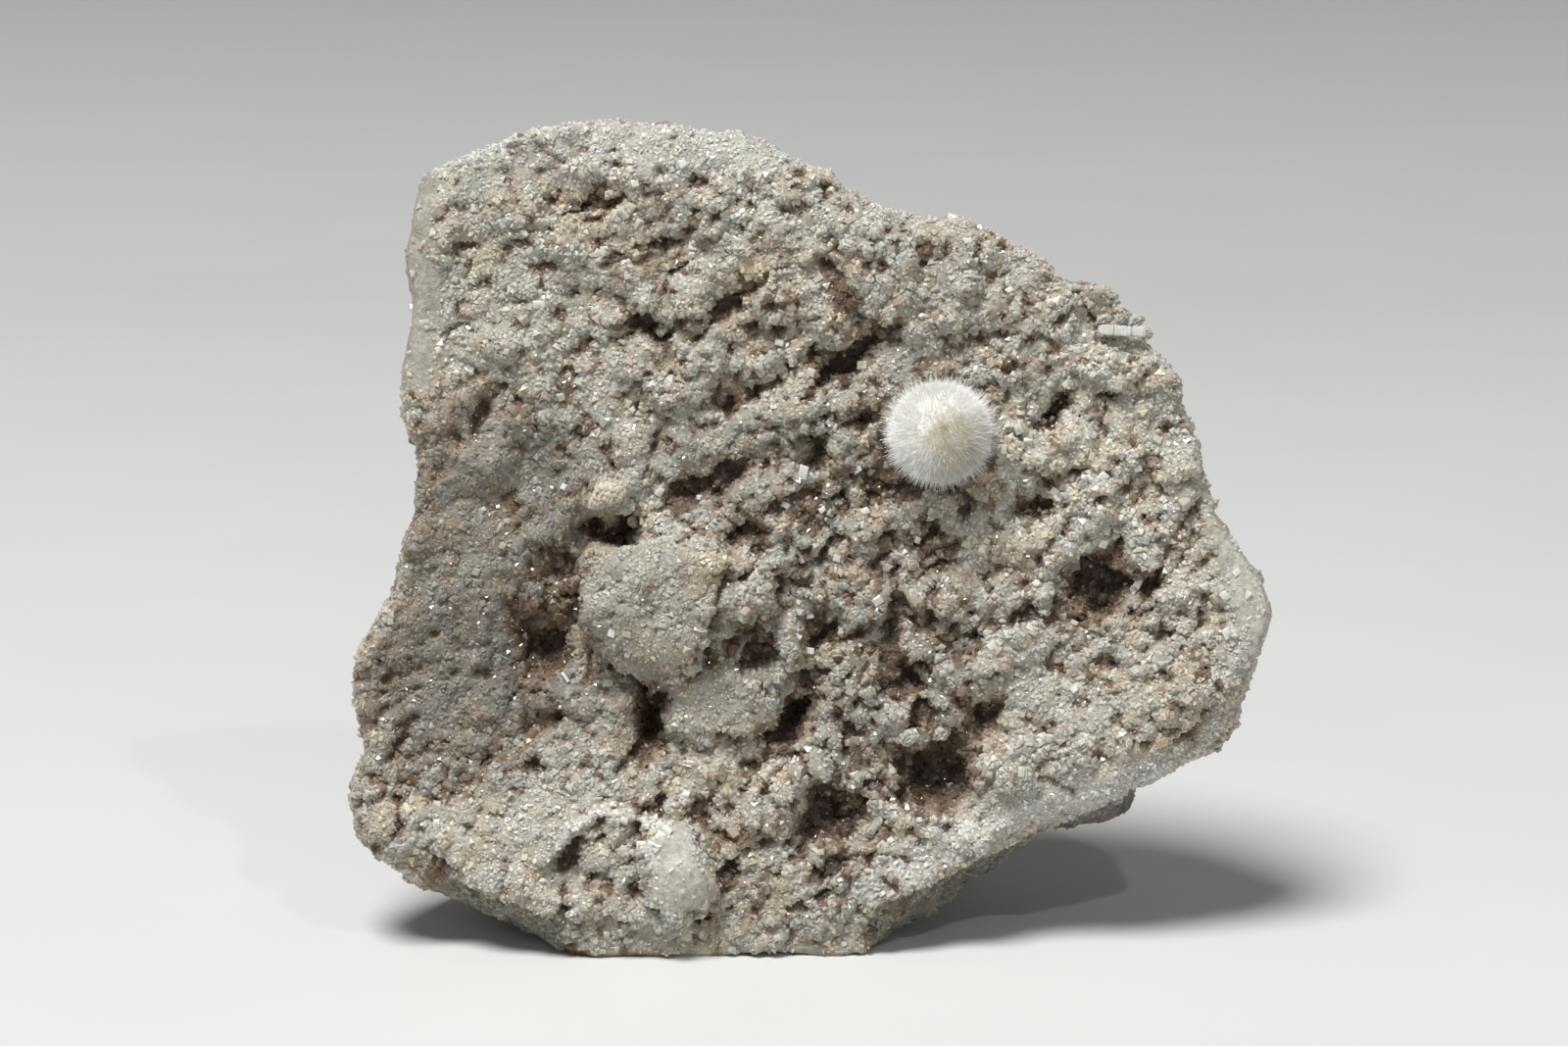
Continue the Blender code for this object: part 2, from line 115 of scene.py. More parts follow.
# Pits between the crystals: across, up, half length, half width, turn in degrees, depth
PITS = [
    (-22.1, 73.4, 4.3, 1.2, 5, 2.0), (-24.2, 72.2, 1.3, 0.9, 0, 1.2), (-34.2, 69.0, 1.9, 1.1, -10, 1.2),
    (-14.3, 69.0, 2.9, 1.7, 20, 1.8), (-9.1, 63.0, 3.6, 1.4, 35, 2.0), (-16.2, 61.4, 3.0, 1.2, 15, 1.8),
    (-21.2, 61.5, 1.5, 0.8, -20, 1.0), (-4.6, 62.0, 1.8, 1.2, 80, 1.2), (3.6, 58.5, 5.0, 1.5, 38, 2.6),
    (6.8, 61.0, 1.5, 1.0, 0, 1.3), (-32.8, 51.9, 2.9, 1.0, 45, 1.8), (-29.6, 54.6, 1.3, 0.6, 40, 1.0),
    (-21.9, 51.4, 1.0, 0.8, 0, 1.1), (-7.1, 54.2, 3.2, 1.3, 25, 1.8), (-17.4, 53.4, 1.5, 0.7, 15, 1.0),
    (-9.9, 50.8, 1.4, 0.9, 50, 1.2), (2.9, 51.9, 2.4, 1.6, 10, 1.8), (6.7, 46.2, 2.6, 1.9, 40, 3.2),
    (8.6, 56.4, 1.6, 0.7, 30, 1.0), (19.5, 56.1, 1.4, 0.8, 0, 1.3), (22.8, 52.3, 2.2, 1.4, 60, 2.0),
    (27.6, 52.3, 1.8, 1.0, 50, 1.3), (24.7, 47.1, 2.9, 1.1, 20, 1.9), (20.9, 43.3, 2.4, 1.4, 20, 1.9),
    (10.5, 40.9, 2.0, 1.0, 90, 2.4), (14.3, 45.0, 3.0, 1.2, 0, 1.7), (-10.0, 46.6, 4.6, 1.5, 20, 2.1),
    (-3.8, 44.3, 1.8, 0.9, 50, 1.9), (-20.0, 41.6, 2.8, 1.5, 10, 3.0), (-15.6, 43.4, 1.1, 0.6, 0, 1.0),
    (-23.8, 37.5, 4.5, 2.0, 20, 1.9), (-26.8, 30.6, 3.0, 3.8, 0, 3.4), (-23.4, 33.6, 1.6, 2.6, 0, 2.2),
    (-15.7, 23.8, 4.6, 1.5, 90, 3.8), (-18.0, 28.1, 1.6, 1.2, 0, 2.0), (-27.1, 22.4, 2.2, 1.2, 30, 1.9),
    (-32.3, 18.6, 1.6, 1.0, 30, 1.4), (-29.9, 20.5, 0.8, 0.7, 0, 1.0), (-5.7, 40.5, 2.9, 1.4, 0, 1.4),
    (-1.9, 35.7, 1.6, 1.2, 0, 1.7), (1.0, 31.0, 2.2, 1.4, 20, 2.0), (-6.6, 31.9, 2.4, 1.0, 20, 1.3),
    (-5.5, 28.5, 1.2, 0.7, 0, 1.1), (-2.4, 23.0, 3.6, 2.0, 40, 2.8), (-5.7, 18.6, 1.9, 1.6, 90, 1.7),
    (-10.4, 14.6, 2.4, 1.4, 90, 1.5), (1.4, 13.3, 3.6, 3.2, 30, 3.0), (3.3, 17.7, 1.6, 1.3, 0, 1.5),
    (3.8, 10.0, 2.6, 1.2, 0, 1.7), (0.6, 7.4, 1.5, 1.4, 90, 1.9), (-8.6, 7.1, 1.5, 1.2, 90, 1.5),
    (-6.2, 8.2, 1.0, 0.7, 0, 1.0), (-21.0, 8.6, 4.6, 3.4, 0, 0.7), (-16.8, 10.8, 0.8, 0.4, 0, 1.6),
    (-10.0, 13.6, 1.3, 1.0, 60, 1.6), (-9.6, 11.9, 1.2, 0.8, 90, 1.4), (-5.3, 11.6, 1.3, 1.1, 0, 1.4),
    (-15.4, 4.6, 0.5, 0.4, 0, 1.0), (-24.6, 4.3, 0.7, 0.6, 0, 1.3), (-27.2, 5.5, 1.2, 0.6, 0, 0.9),
    (-22.8, 1.6, 1.8, 0.7, 0, 1.0), (-10.5, 2.9, 1.2, 1.2, 0, 1.3), (-23.6, 9.4, 1.6, 1.3, 60, 1.7),
    (-24.4, 4.6, 1.0, 0.9, 90, 1.6), (-12.6, 5.2, 0.9, 0.7, 90, 0.9), (-17.2, 10.7, 0.9, 0.4, 0, 0.8),
    (27.6, 35.7, 3.6, 2.8, -10, 3.4), (31.8, 36.5, 2.6, 1.6, 0, 1.7), (26.6, 33.0, 1.5, 1.5, 0, 1.9),
    (33.3, 30.9, 1.2, 1.0, 0, 1.2), (30.9, 31.9, 0.8, 0.6, 0, 0.9), (23.8, 29.1, 1.5, 1.0, 0, 1.4),
    (28.5, 28.6, 0.9, 0.7, 0, 1.0), (9.5, 27.2, 2.2, 1.2, -30, 2.0), (14.3, 31.0, 2.6, 0.9, 15, 1.6),
    (12.2, 29.6, 1.2, 0.6, 0, 1.0), (16.2, 22.4, 3.0, 1.6, 75, 2.4), (12.4, 17.7, 3.6, 3.2, 75, 4.0),
    (18.0, 19.6, 1.2, 0.8, 0, 1.2), (36.1, 21.9, 2.9, 1.2, 0, 1.4), (6.0, 8.8, 0.9, 0.8, 90, 1.1),
    (9.2, 31.8, 1.2, 0.7, 30, 1.1), (5.4, 31.0, 0.9, 0.7, 0, 1.0), (3.4, 36.0, 1.1, 0.8, 20, 1.1),
    (20.0, 32.8, 1.5, 0.6, 10, 1.1),
]
# Share of a pit's depth that the skin adds to what the solid already has
PIT_SHARE = 0.45

# Corners of the smooth pale patch near the lower left
PATCH_CORNERS = [
    (-15.6, 11.6), (-13.7, 13.7), (-12.2, 13.9), (-11.8, 11.4), (-10.6, 9.5), (-9.1, 7.8), (-9.1, 5.9),
    (-11.4, 4.6), (-13.7, 4.7), (-15.6, 5.5), (-16.2, 7.0), (-15.8, 9.5),
]

# Flat-topped blocks, whose edges stand up more sharply than in the solid: corners, then rise
BLOCKS = [
    ([(-21.0, 39.3), (-17.2, 39.4), (-16.0, 40.6), (-10.5, 40.9), (-9.2, 40.9), (-8.6, 39.5), (-8.7, 36.7),
      (-10.8, 33.3), (-11.2, 31.4), (-10.8, 28.4), (-14.3, 27.2), (-15.0, 26.4), (-16.3, 28.1),
      (-17.3, 29.3), (-19.1, 29.3), (-19.8, 31.9), (-20.5, 33.3), (-20.8, 35.7)], 2.7),
    ([(-8.6, 36.4), (-5.9, 35.6), (-3.4, 35.0), (-3.6, 33.2), (-6.2, 32.4), (-9.6, 32.9)], 1.2),
    (PATCH_CORNERS, 1.4),
    ([(-21.5, 44.4), (-20.4, 46.6), (-18.4, 47.0), (-17.5, 45.6), (-17.9, 44.2), (-19.6, 43.6)], 1.1),
    ([(-13.5, 27.6), (-5.6, 27.6), (-2.9, 25.2), (-5.4, 21.4), (-11.0, 20.4), (-13.8, 22.6)], 1.1),
]

# Smooth patches that have hardly any crystals on them, given by their corners
BALD_PATCHES = [
    PATCH_CORNERS,
    [(37.6, 43.5), (39.2, 36.6), (41.6, 32.0), (42.8, 26.6), (41.6, 20.5), (47.0, 20.0), (47.0, 43.5)],
    [(-38.6, 77.0), (-36.4, 76.2), (-36.6, 69.0), (-35.8, 64.2), (-36.0, 59.5), (-37.0, 54.7), (-42.0, 54.7),
     (-42.0, 77.0)],
]

# The long pale rim of the trough at the lower right
TROUGH_RIM = [(6.0, 6.8), (8.6, 8.6), (13.8, 11.5), (19.0, 13.9), (23.5, 15.0), (27.5, 16.2), (33.0, 17.8)]

# White ridges: points, half width, rise
RIDGES = [
    ([(-27.6, 9.1), (-25.7, 10.6), (-24.1, 12.0), (-22.2, 13.4), (-19.9, 14.1), (-17.7, 13.9), (-15.6, 13.0),
      (-14.3, 12.6)], 0.4, 0.8),
    ([(-15.6, 13.0), (-14.2, 14.2), (-12.4, 15.0)], 0.35, 0.8),
    ([(-15.9, 11.4), (-16.0, 9.0), (-16.4, 7.0), (-15.8, 5.4)], 0.3, 2.0),
    ([(-19.0, 4.2), (-17.4, 3.5), (-16.0, 4.4), (-14.4, 3.8)], 0.6, 0.8),
    (TROUGH_RIM, 1.2, 0.0),
]

# Places where the crust is smooth and fine, or more broken up where the strength is below zero:
# across, up, half width, half height, strength
FINE_PLACES = [
    (-15.0, 36.0, 5.6, 5.0, 0.52),
    (-15.6, 30.5, 3.2, 3.6, 0.45),
    (-6.0, 34.4, 2.6, 1.8, 0.45),
    (-31.0, 45.0, 8.5, 8.0, 0.45),
    (-36.0, 31.0, 6.0, 10.0, 0.35),
    (-20.3, 43.9, 1.9, 1.8, 0.60),
    (20.0, 13.8, 9.0, 1.8, 0.35),
    (11.5, 10.2, 4.0, 2.0, 0.50),
    (27.0, 16.2, 5.0, 1.6, 0.10),
    (-28.0, 12.0, 9.0, 6.0, 0.50),
    (-8.6, 24.6, 4.5, 3.0, 0.75),
    (-30.0, 76.0, 9.0, 3.0, 0.50),
    (-6.0, 79.0, 20.0, 2.6, 0.55),
    (30.0, 15.5, 6.0, 2.5, 0.10),
    (-35.0, 62.0, 7.0, 12.0, 0.30),
    (3.0, 46.0, 15.0, 8.0, -0.40),
    (4.0, 31.0, 15.0, 10.0, -0.45),
    (3.0, 12.0, 12.0, 9.0, -0.35),
    (28.0, 35.0, 8.0, 5.0, -0.30),
    (-5.0, 61.0, 14.0, 6.0, -0.20),
]

# Duller and brighter places, partly the crust's own tone and partly painted light and shade where the face
# turns to or from the lamps: across, up, half width, half height, change of tone
TONE_AND_LIGHT_PLACES = [
    (-31.0, 42.0, 11.0, 12.0, -0.42),
    (-35.0, 25.0, 10.0, 9.0, -0.50),
    (-22.0, 26.0, 6.0, 8.0, -0.25),
    (32.0, 50.0, 14.0, 14.0, 0.10),
    (34.0, 24.0, 12.0, 9.0, 0.06),
    (18.0, 13.4, 12.0, 4.0, 0.12),
    (-3.0, 47.0, 12.0, 7.0, -0.22),
    (3.0, 30.0, 13.0, 9.0, -0.16),
    (-15.0, 35.0, 6.0, 6.0, -0.06),
    (-1.0, 9.0, 9.0, 8.0, -0.12),
    (-22.0, 9.0, 16.0, 7.0, 0.16),
    (-6.0, 78.0, 20.0, 3.0, 0.10),
]

# Colours of the crust and of its grains
GREY = np.array((0.435, 0.425, 0.352))
BEIGE = np.array((0.435, 0.372, 0.275))
COOL = np.array((0.345, 0.345, 0.292))
# Tan and near-black for the hollows: brownish stain that deepens into painted shade
TAN = np.array((0.165, 0.108, 0.06))
SHADOWED_BROWN = np.array((0.036, 0.022, 0.013))
WHITE = np.array((0.60, 0.58, 0.52))
PATCH = np.array((0.475, 0.45, 0.375))
UNDER = np.array((0.29, 0.31, 0.28))
CREAM = (0.56, 0.47, 0.30)
PINKISH = (0.50, 0.43, 0.33)
SAND = (0.40, 0.395, 0.325)
RUST = (0.34, 0.20, 0.11)
# A deep grey for painted shade in pits, under a knob and on the duller lower left
SHADE_GREY = (0.17, 0.165, 0.15)
PALE = (0.50, 0.49, 0.44)
CHALKY = (0.56, 0.54, 0.475)
MURKY = (0.30, 0.285, 0.245)
GLASS = (0.47, 0.475, 0.45)
SNOW = (0.60, 0.60, 0.57)
HONEY = (0.40, 0.29, 0.17)
BUFF = (0.43, 0.395, 0.31)
UMBER = (0.2, 0.12, 0.07)
OCHRE = (0.33, 0.30, 0.09)

# Marks on the crust: stains, painted shade where the colour is the shade grey, and paler top and right rims:
# across, up, half width, half height, colour, strength
STAINS = [
    (-20.0, 44.2, 2.0, 2.0, PINKISH, 0.7),
    (-15.0, 35.0, 5.4, 5.0, SAND, 0.6),
    (-6.5, 66.0, 1.8, 1.8, CREAM, 0.5),
    (-16.6, 42.8, 2.0, 1.4, CREAM, 0.35),
    (-9.9, 38.2, 2.0, 1.8, CREAM, 0.6),
    (-10.6, 36.4, 2.4, 1.0, RUST, 0.25),
    (-31.8, 67.0, 2.2, 1.6, CREAM, 0.4),
    (-33.0, 69.0, 1.4, 1.0, CREAM, 0.4),
    (-16.0, 68.0, 2.4, 2.0, CREAM, 0.3),
    (5.4, 53.6, 2.2, 1.6, RUST, 0.35),
    (3.0, 67.0, 3.0, 1.6, RUST, 0.25),
    (-2.0, 43.0, 1.8, 1.2, RUST, 0.4),
    (34.5, 24.0, 3.4, 3.4, CREAM, 0.2),
    (0.0, 29.0, 2.0, 1.6, CREAM, 0.3),
    (-18.7, 40.9, 2.6, 1.3, SHADE_GREY, 0.75),
    (-38.0, 28.0, 5.0, 6.0, SHADE_GREY, 0.25),
    (-27.0, 30.0, 6.0, 7.0, SHADE_GREY, 0.35),
    (12.5, 17.5, 4.0, 3.6, SHADE_GREY, 0.5),
    (18.0, 15.8, 5.0, 1.3, SHADE_GREY, 0.35),
    (27.6, 35.5, 4.4, 3.4, SHADE_GREY, 0.4),
    (-15.6, 24.0, 2.0, 5.0, SHADE_GREY, 0.6),
    (-21.0, 7.0, 4.6, 4.0, MURKY, 0.5),
    (-13.2, 8.6, 2.8, 4.4, CHALKY, 0.8),
    (-23.8, 9.3, 1.7, 1.7, SHADE_GREY, 0.8),
    (-20.0, 78.5, 24.0, 3.0, PALE, 0.5),
    (42.0, 34.0, 3.0, 9.0, PALE, 0.6),
]


def ramp(value, low, high):
    """A smooth step from 0 at low to 1 at high."""
    share = np.clip((value - low) / (high - low), 0.0, 1.0)
    return share * share * (3.0 - 2.0 * share)


def unit(vectors):
    """The same directions, each with a length of 1."""
    return vectors / np.maximum(np.linalg.norm(vectors, axis=-1, keepdims=True), 1e-9)


def to_face(points):
    """Points in the face's own frame."""
    return (points - FACE_ORIGIN) @ FACE_AXES.T


def from_face(points):
    """Points of the face's frame, in the world."""
    return FACE_ORIGIN + np.asarray(points) @ FACE_AXES


def towards(colours, target, share):
    """Colours, moved by a share of the way towards another colour."""
    return colours + (np.asarray(target) - colours) * share[:, None]


def lattice(cell, seed):
    """A repeatable number from 0 to 1 for every lattice cell."""
    mixed = cell @ np.array((374761393, 668265263, 2147483647), np.int64) + seed * 1274126177
    mixed = (mixed ^ (mixed >> 13)) * 1274126177
    mixed = (mixed ^ (mixed >> 15)) * 668265263
    return ((mixed ^ (mixed >> 16)) & 0xFFFFFF) / float(0xFFFFFF)


def swell(points, spacing, seed):
    """Smooth noise between -1 and 1 whose lumps are about this far apart."""
    grid = points / spacing
    low = np.floor(grid).astype(np.int64)
    share = grid - low
    share = share * share * (3.0 - 2.0 * share)
    total = np.zeros(len(points))
    for corner in np.ndindex(2, 2, 2):
        weight = np.prod(np.where(corner, share, 1.0 - share), axis=1)
        total += weight * lattice(low + np.array(corner), seed)
    return 2.0 * total - 1.0


def layered(points, spacing, seed, layers=3):
    """Smooth noise with finer and weaker layers on top."""
    total = np.zeros(len(points))
    for layer in range(layers):
        total += 0.5**layer * swell(points, spacing * 0.5**layer, seed + layer)
    return total / (2.0 - 0.5 ** (layers - 1))


def cells(points, spacing, seed):
    """Nearest of a scatter of cell centres: its distance in spacings, the run to it and its number."""
    grid = points / spacing
    low = np.floor(grid).astype(np.int64)
    nearest = np.full(len(points), np.inf)
    run = np.zeros_like(points)
    number = np.zeros(len(points))
    for corner in np.ndindex(3, 3, 3):
        cell = low + np.array(corner) - 1
        spot = cell + np.stack([lattice(cell, seed + axis) for axis in range(3)], axis=1)
        away = grid - spot
        distance = np.linalg.norm(away, axis=1)
        closer = distance < nearest
        nearest = np.where(closer, distance, nearest)
        run = np.where(closer[:, None], away, run)
        number = np.where(closer, lattice(cell, seed + 3), number)
    return nearest, run, number


def broken(points, spacing, seed):
    """Broken facets: every cell is a small plane with a slope of its own."""
    _, run, number = cells(points, spacing, seed)
    turn = 2.0 * math.pi * number
    steep = np.cos(7.0 * turn)
    slope = np.stack((np.cos(turn), np.sin(turn), steep), axis=1)
    return (run * unit(slope)).sum(axis=1)


def inside_of(face_points, places, low=0.75, high=1.15):
    """How strongly each point lies inside each ellipse: 1 up to the low reach, 0 from the high one."""
    away_x = (face_points[:, 0, None] - places[None, :, 0]) / places[None, :, 2]
    away_y = (face_points[:, 1, None] - places[None, :, 1]) / places[None, :, 3]
    return 1.0 - ramp(np.hypot(away_x, away_y), low, high)


def fineness(face_points):
    """How smooth and fine the crust is, up to 1, and below 0 where it is broken up."""
    places = np.array(FINE_PLACES)
    spots = jittered(face_points, 1.2, 3.4, 301)
    from_rim, _ = from_line(spots, TROUGH_RIM, False)
    fine = (inside_of(spots, places) * places[None, :, 4]).sum(axis=1)
    return np.clip(fine + 0.45 * (1.0 - ramp(from_rim, 1.2, 3.0)), -0.5, 0.9)


def pit_depth(face_points, wider=1.0):
    """Depth of the pits between the crystals, in millimetres."""
    ragged_x = face_points[:, 0] + 2.0 * layered(face_points, 2.8, 311, 4)
    ragged_y = face_points[:, 1] + 2.0 * layered(face_points, 2.8, 317, 4)
    deepest = np.zeros(len(face_points))
    for across, up, half_length, half_width, turn, depth in PITS:
        angle = math.radians(turn)
        x = ragged_x - across
        y = ragged_y - up
        along = x * math.cos(angle) + y * math.sin(angle)
        beside = -x * math.sin(angle) + y * math.cos(angle)
        reach = np.hypot(along / half_length, beside / half_width) / wider
        deepest = np.maximum(deepest, depth * (1.0 - ramp(reach, 0.5, 1.25)))
    return deepest


class Skin:
    """The stone's fine skin: points and square faces in world millimetres, with what lies on them."""

    def __init__(self, points, quads):
        self.points = points
        self.quads = quads
        sides = np.concatenate([quads[:, [i, (i + 1) % 4]] for i in range(4)])
        self.edges = np.unique(np.sort(sides, axis=1), axis=0)

    def neighbours_mean(self, values):
        """Mean of every point's neighbours."""
        first, second = self.edges.T
        count = len(self.points)
        share = np.bincount(self.edges.ravel(), minlength=count)
        columns = [
            np.bincount(first, column[second], count) + np.bincount(second, column[first], count)
            for column in values.reshape(count, -1).T
        ]
        return (np.stack(columns, axis=1) / share[:, None]).reshape(values.shape)

    def relaxed(self, values, rounds):
        """Values smoothed by this many rounds of mixing with their neighbours."""
        for _ in range(rounds):
            values = 0.4 * values + 0.6 * self.neighbours_mean(values)
        return values

    def normals(self):
        """The outward direction at every point."""
        corners, count = self.quads.ravel(), len(self.points)
        columns = [np.bincount(corners, np.repeat(part, 4), count) for part in self.facing().T]
        return unit(np.stack(columns, axis=1))

    def facing(self):
        """Square to every face, with a length of twice its area."""
        corners = self.points[self.quads]
        return np.cross(corners[:, 2] - corners[:, 0], corners[:, 3] - corners[:, 1])


def solid_as_grid(node, detail):
    """A node's solid, remade as an even grid of square faces."""
    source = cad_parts[node]
    copy = bpy.data.objects.new("grid_source", source.data.copy())
    bpy.context.scene.collection.objects.link(copy)
    remesh = copy.modifiers.new("grid", "REMESH")
    remesh.mode = "VOXEL"
    remesh.voxel_size = detail
    graph = bpy.context.evaluated_depsgraph_get()
    grid = bpy.data.meshes.new_from_object(copy.evaluated_get(graph))
    points = np.empty(len(grid.vertices) * 3)
    grid.vertices.foreach_get("co", points)
    quads = np.empty(len(grid.loops), np.int32)
    grid.loops.foreach_get("vertex_index", quads)
    bpy.data.objects.remove(copy)
    bpy.data.meshes.remove(grid)
    return Skin(points.reshape(-1, 3) / MM, quads.reshape(-1, 4).astype(np.int64))


def under_rim(face_points):
    """1 on the two grey strips below the crust's lower edge."""
    spots = jittered(face_points, 0.5, 1.6, 361)
    across, up = spots.T
    right = ramp(5.4 + 0.44 * (across - 6.65) - up, 0.0, 0.5) * ramp(across, 4.0, 6.0)
    right *= ramp(-across, -33.0, -31.0)
    left = ramp(8.0 - 0.39 * (across + 35.2) - up, 0.0, 0.5) * ramp(across, -39.0, -37.0)
    left *= ramp(-across, 23.0, 25.0)
    return np.maximum(right, left)


def bareness(face_points, facing):
    """0 where the crust of crystals lies, and 1 on the bare broken stone."""
    out = face_points[:, 2]
    rough = 1.2 * layered(face_points, 3.2, 331)
    past_rim = ramp(-out - 3.2 - rough, -0.5, 0.5) * (1.0 - ramp(facing, 0.3, 0.5))
    past_rim *= 1.0 - 0.2 * ramp(out, -9.0, -5.0)
    under = 0.65 * under_rim(face_points) * (out < -0.4 + 0.3 * rough)
    return np.maximum(np.maximum(past_rim, under), ramp(-facing, 0.1, 0.4))


def make_piece(name, points, groups, material, node, body="root"):
    """Makes one piece of points in millimetres and groups of faces, each with as many corners."""
    corners = np.concatenate([np.ravel(faces) for faces in groups])
    sizes = np.concatenate([np.full(len(faces), len(faces[0])) for faces in groups])
    mesh = bpy.data.meshes.new(name)
    mesh.vertices.add(len(points))
    mesh.vertices.foreach_set("co", (np.asarray(points) * MM).astype(np.float32).ravel())
    mesh.loops.add(len(corners))
    mesh.loops.foreach_set("vertex_index", np.asarray(corners, np.int32))
    starts = np.concatenate(([0], np.cumsum(sizes)[:-1]))
    mesh.polygons.add(len(sizes))
    mesh.polygons.foreach_set("loop_start", starts.astype(np.int32))
    mesh.update(calc_edges=True)
    mesh.validate()
    mesh.shade_flat()
    mesh.materials.append(material)
    piece = bpy.data.objects.new(name, mesh)
    bpy.context.scene.collection.objects.link(piece)
    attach(piece, body)
    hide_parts(node)
    return piece


def paint(mesh, name, values):
    """Stores a colour, a number or, as the bulge, a direction for every point."""
    values = np.asarray(values, np.float32)
    kind, key = "FLOAT_COLOR", "color"
    if name == "bulge":
        kind, key = "FLOAT_VECTOR", "vector"
    elif values.ndim == 1:
        kind, key = "FLOAT", "value"
    else:
        values = np.column_stack((values, np.ones(len(values), np.float32)))
    layer = mesh.attributes.new(name, kind, "POINT")
    layer.data.foreach_set(key, values.ravel())


def unwrap(mesh, places):
    """Gives the piece its own flat map, one place for every corner."""
    layer = mesh.uv_layers.new(name="OFBake")
    layer.uv.foreach_set("vector", np.asarray(places, np.float32).ravel())


# The six views: the two columns of the points that are seen, and the corner of the map
BOX_VIEWS = [
    ([1, 2], (0.0, 0.5)), ([1, 2], (0.25, 0.5)), ([0, 2], (0.0, 0.0)),
    ([0, 2], (0.5, 0.0)), ([0, 1], (0.5, 0.5)), ([0, 1], (0.5, 0.75)),
]


def box_map(points, quads, normals):
    """Flat places for a closed stone: six views of it side by side, each face in the nearest one."""
    low, high = points.min(axis=0), points.max(axis=0)
    share = (points - low) / (high - low).max()
    facing = normals[quads].mean(axis=1)
    axis = np.abs(facing).argmax(axis=1)
    view = axis * 2 + (np.take_along_axis(facing, axis[:, None], axis=1)[:, 0] > 0)
    places = np.zeros((len(quads), 4, 2))
    for side, (columns, corner) in enumerate(BOX_VIEWS):
        chosen = view == side
        places[chosen] = share[quads[chosen]][:, :, columns] * 0.49 + np.array(corner)
    return places.reshape(-1, 2)


class Nodes:
    """A material's nodes, made and joined by short calls."""

    def __init__(self, name):
        self.material = bpy.data.materials.new(name)
        self.material.use_nodes = True
        self.tree = self.material.node_tree
        self.shader = self.tree.nodes["Principled BSDF"]

    def add(self, kind, values=(), **settings):
        """Adds a node with these input values and settings."""
        node = self.tree.nodes.new(kind)
        for key, value in settings.items():
            setattr(node, key, value)
        for key, value in dict(values).items():
            node.inputs[key].default_value = value
        return node

    def join(self, out, into):
        """Joins two sockets."""
        self.tree.links.new(out, into)

    def feed(self, name, out):
        """Joins a socket to the shader's socket of this name."""
        self.join(out, self.shader.inputs[name])

    def set(self, **values):
        """Sets the shader's own sockets, whose names have _ for a space."""
        for key, value in values.items():
            self.shader.inputs[key.replace("_", " ")].default_value = value

    def mixed(self, share, first, second, mode="MIX"):
        """Mixes two colours, each a socket or a plain colour."""
        mix = self.add("ShaderNodeMix", data_type="RGBA", blend_type=mode)
        for key, value in ((0, share), (6, first), (7, second)):
            if isinstance(value, bpy.types.NodeSocket):
                self.join(value, mix.inputs[key])
            else:
                mix.inputs[key].default_value = value
        return mix.outputs[2]

    def ramp(self, value, low, high, start=0.0, end=1.0):
        """Spreads a number from one range onto another."""
        node = self.add("ShaderNodeMapRange", {1: low, 2: high, 3: start, 4: end})
        self.join(value, node.inputs[0])
        return node.outputs[0]

    def place(self):
        """Place in the piece's own frame, in metres."""
        return self.add("ShaderNodeTexCoord").outputs["Object"]

    def noise(self, per_mm, detail=3.0, roughness=0.55):
        """Fine noise from about 0.3 to 0.7."""
        values = {"Scale": per_mm / MM, "Detail": detail, "Roughness": roughness}
        node = self.add("ShaderNodeTexNoise", values)
        self.join(self.place(), node.inputs["Vector"])
        return node.outputs["Fac"]

    def bump(self, height, depth_mm):
        """Roughens the surface by this height."""
        node = self.add("ShaderNodeBump", {"Distance": depth_mm * MM})
        self.join(height, node.inputs["Height"])
        self.feed("Normal", node.outputs["Normal"])

    def attribute(self, name, output="Color"):
        """What was painted on the points under this name."""
        return self.add("ShaderNodeAttribute", attribute_name=name).outputs[output]


def stone_material():
    """Bare stone and the ground between the crystals: painted colour with fine grain."""
    nodes = Nodes("stone_ground")
    tint = nodes.attribute("tint")
    fine = nodes.ramp(nodes.noise(1.9, 4.0), 0.3, 0.7, 0.72, 1.22)
    shade = nodes.add("ShaderNodeCombineColor")
    for socket in shade.inputs[:3]:
        nodes.join(fine, socket)
    nodes.feed("Base Color", nodes.mixed(1.0, tint, shade.outputs[0], "MULTIPLY"))
    nodes.feed("Roughness", nodes.ramp(nodes.noise(3.1), 0.3, 0.7, 0.42, 0.68))
    nodes.bump(nodes.noise(1.6, 6.0, 0.7), 0.4)
    nodes.set(IOR=BENDING, Subsurface_Weight=0.4, Subsurface_Scale=0.6 * MM)
    nodes.set(Subsurface_Radius=SPREADING)
    return nodes.material


def crystal_material():
    """Small glassy crystals, each with a colour and a gloss of its own."""
    nodes = Nodes("crust_crystal")
    nodes.feed("Base Color", nodes.attribute("tint"))
    nodes.feed("Roughness", nodes.attribute("dullness", "Fac"))
    softened = nodes.add("ShaderNodeMix", data_type="VECTOR")
    soft = nodes.ramp(nodes.attribute("dullness", "Fac"), 0.15, 0.4, 0.32, 0.8)
    nodes.join(soft, softened.inputs[0])
    nodes.join(nodes.add("ShaderNodeNewGeometry").outputs["Normal"], softened.inputs[4])
    nodes.join(nodes.attribute("bulge", "Vector"), softened.inputs[5])
    straight = nodes.add("ShaderNodeVectorMath", operation="NORMALIZE")
    nodes.join(softened.outputs[1], straight.inputs[0])
    nodes.feed("Normal", straight.outputs[0])
    nodes.set(IOR=BENDING, Subsurface_Weight=0.8, Subsurface_Scale=0.75 * MM)
    nodes.set(Subsurface_Radius=SPREADING)
    return nodes.material


def needle_material():
    """Silky white needles, a little warmer where the tint says so, and darker where the tint holds painted
    shade.
    """
    nodes = Nodes("needle_silk")
    nodes.feed("Base Color", nodes.attribute("tint"))
    nodes.set(Roughness=0.8, IOR=1.5)
    return nodes.material


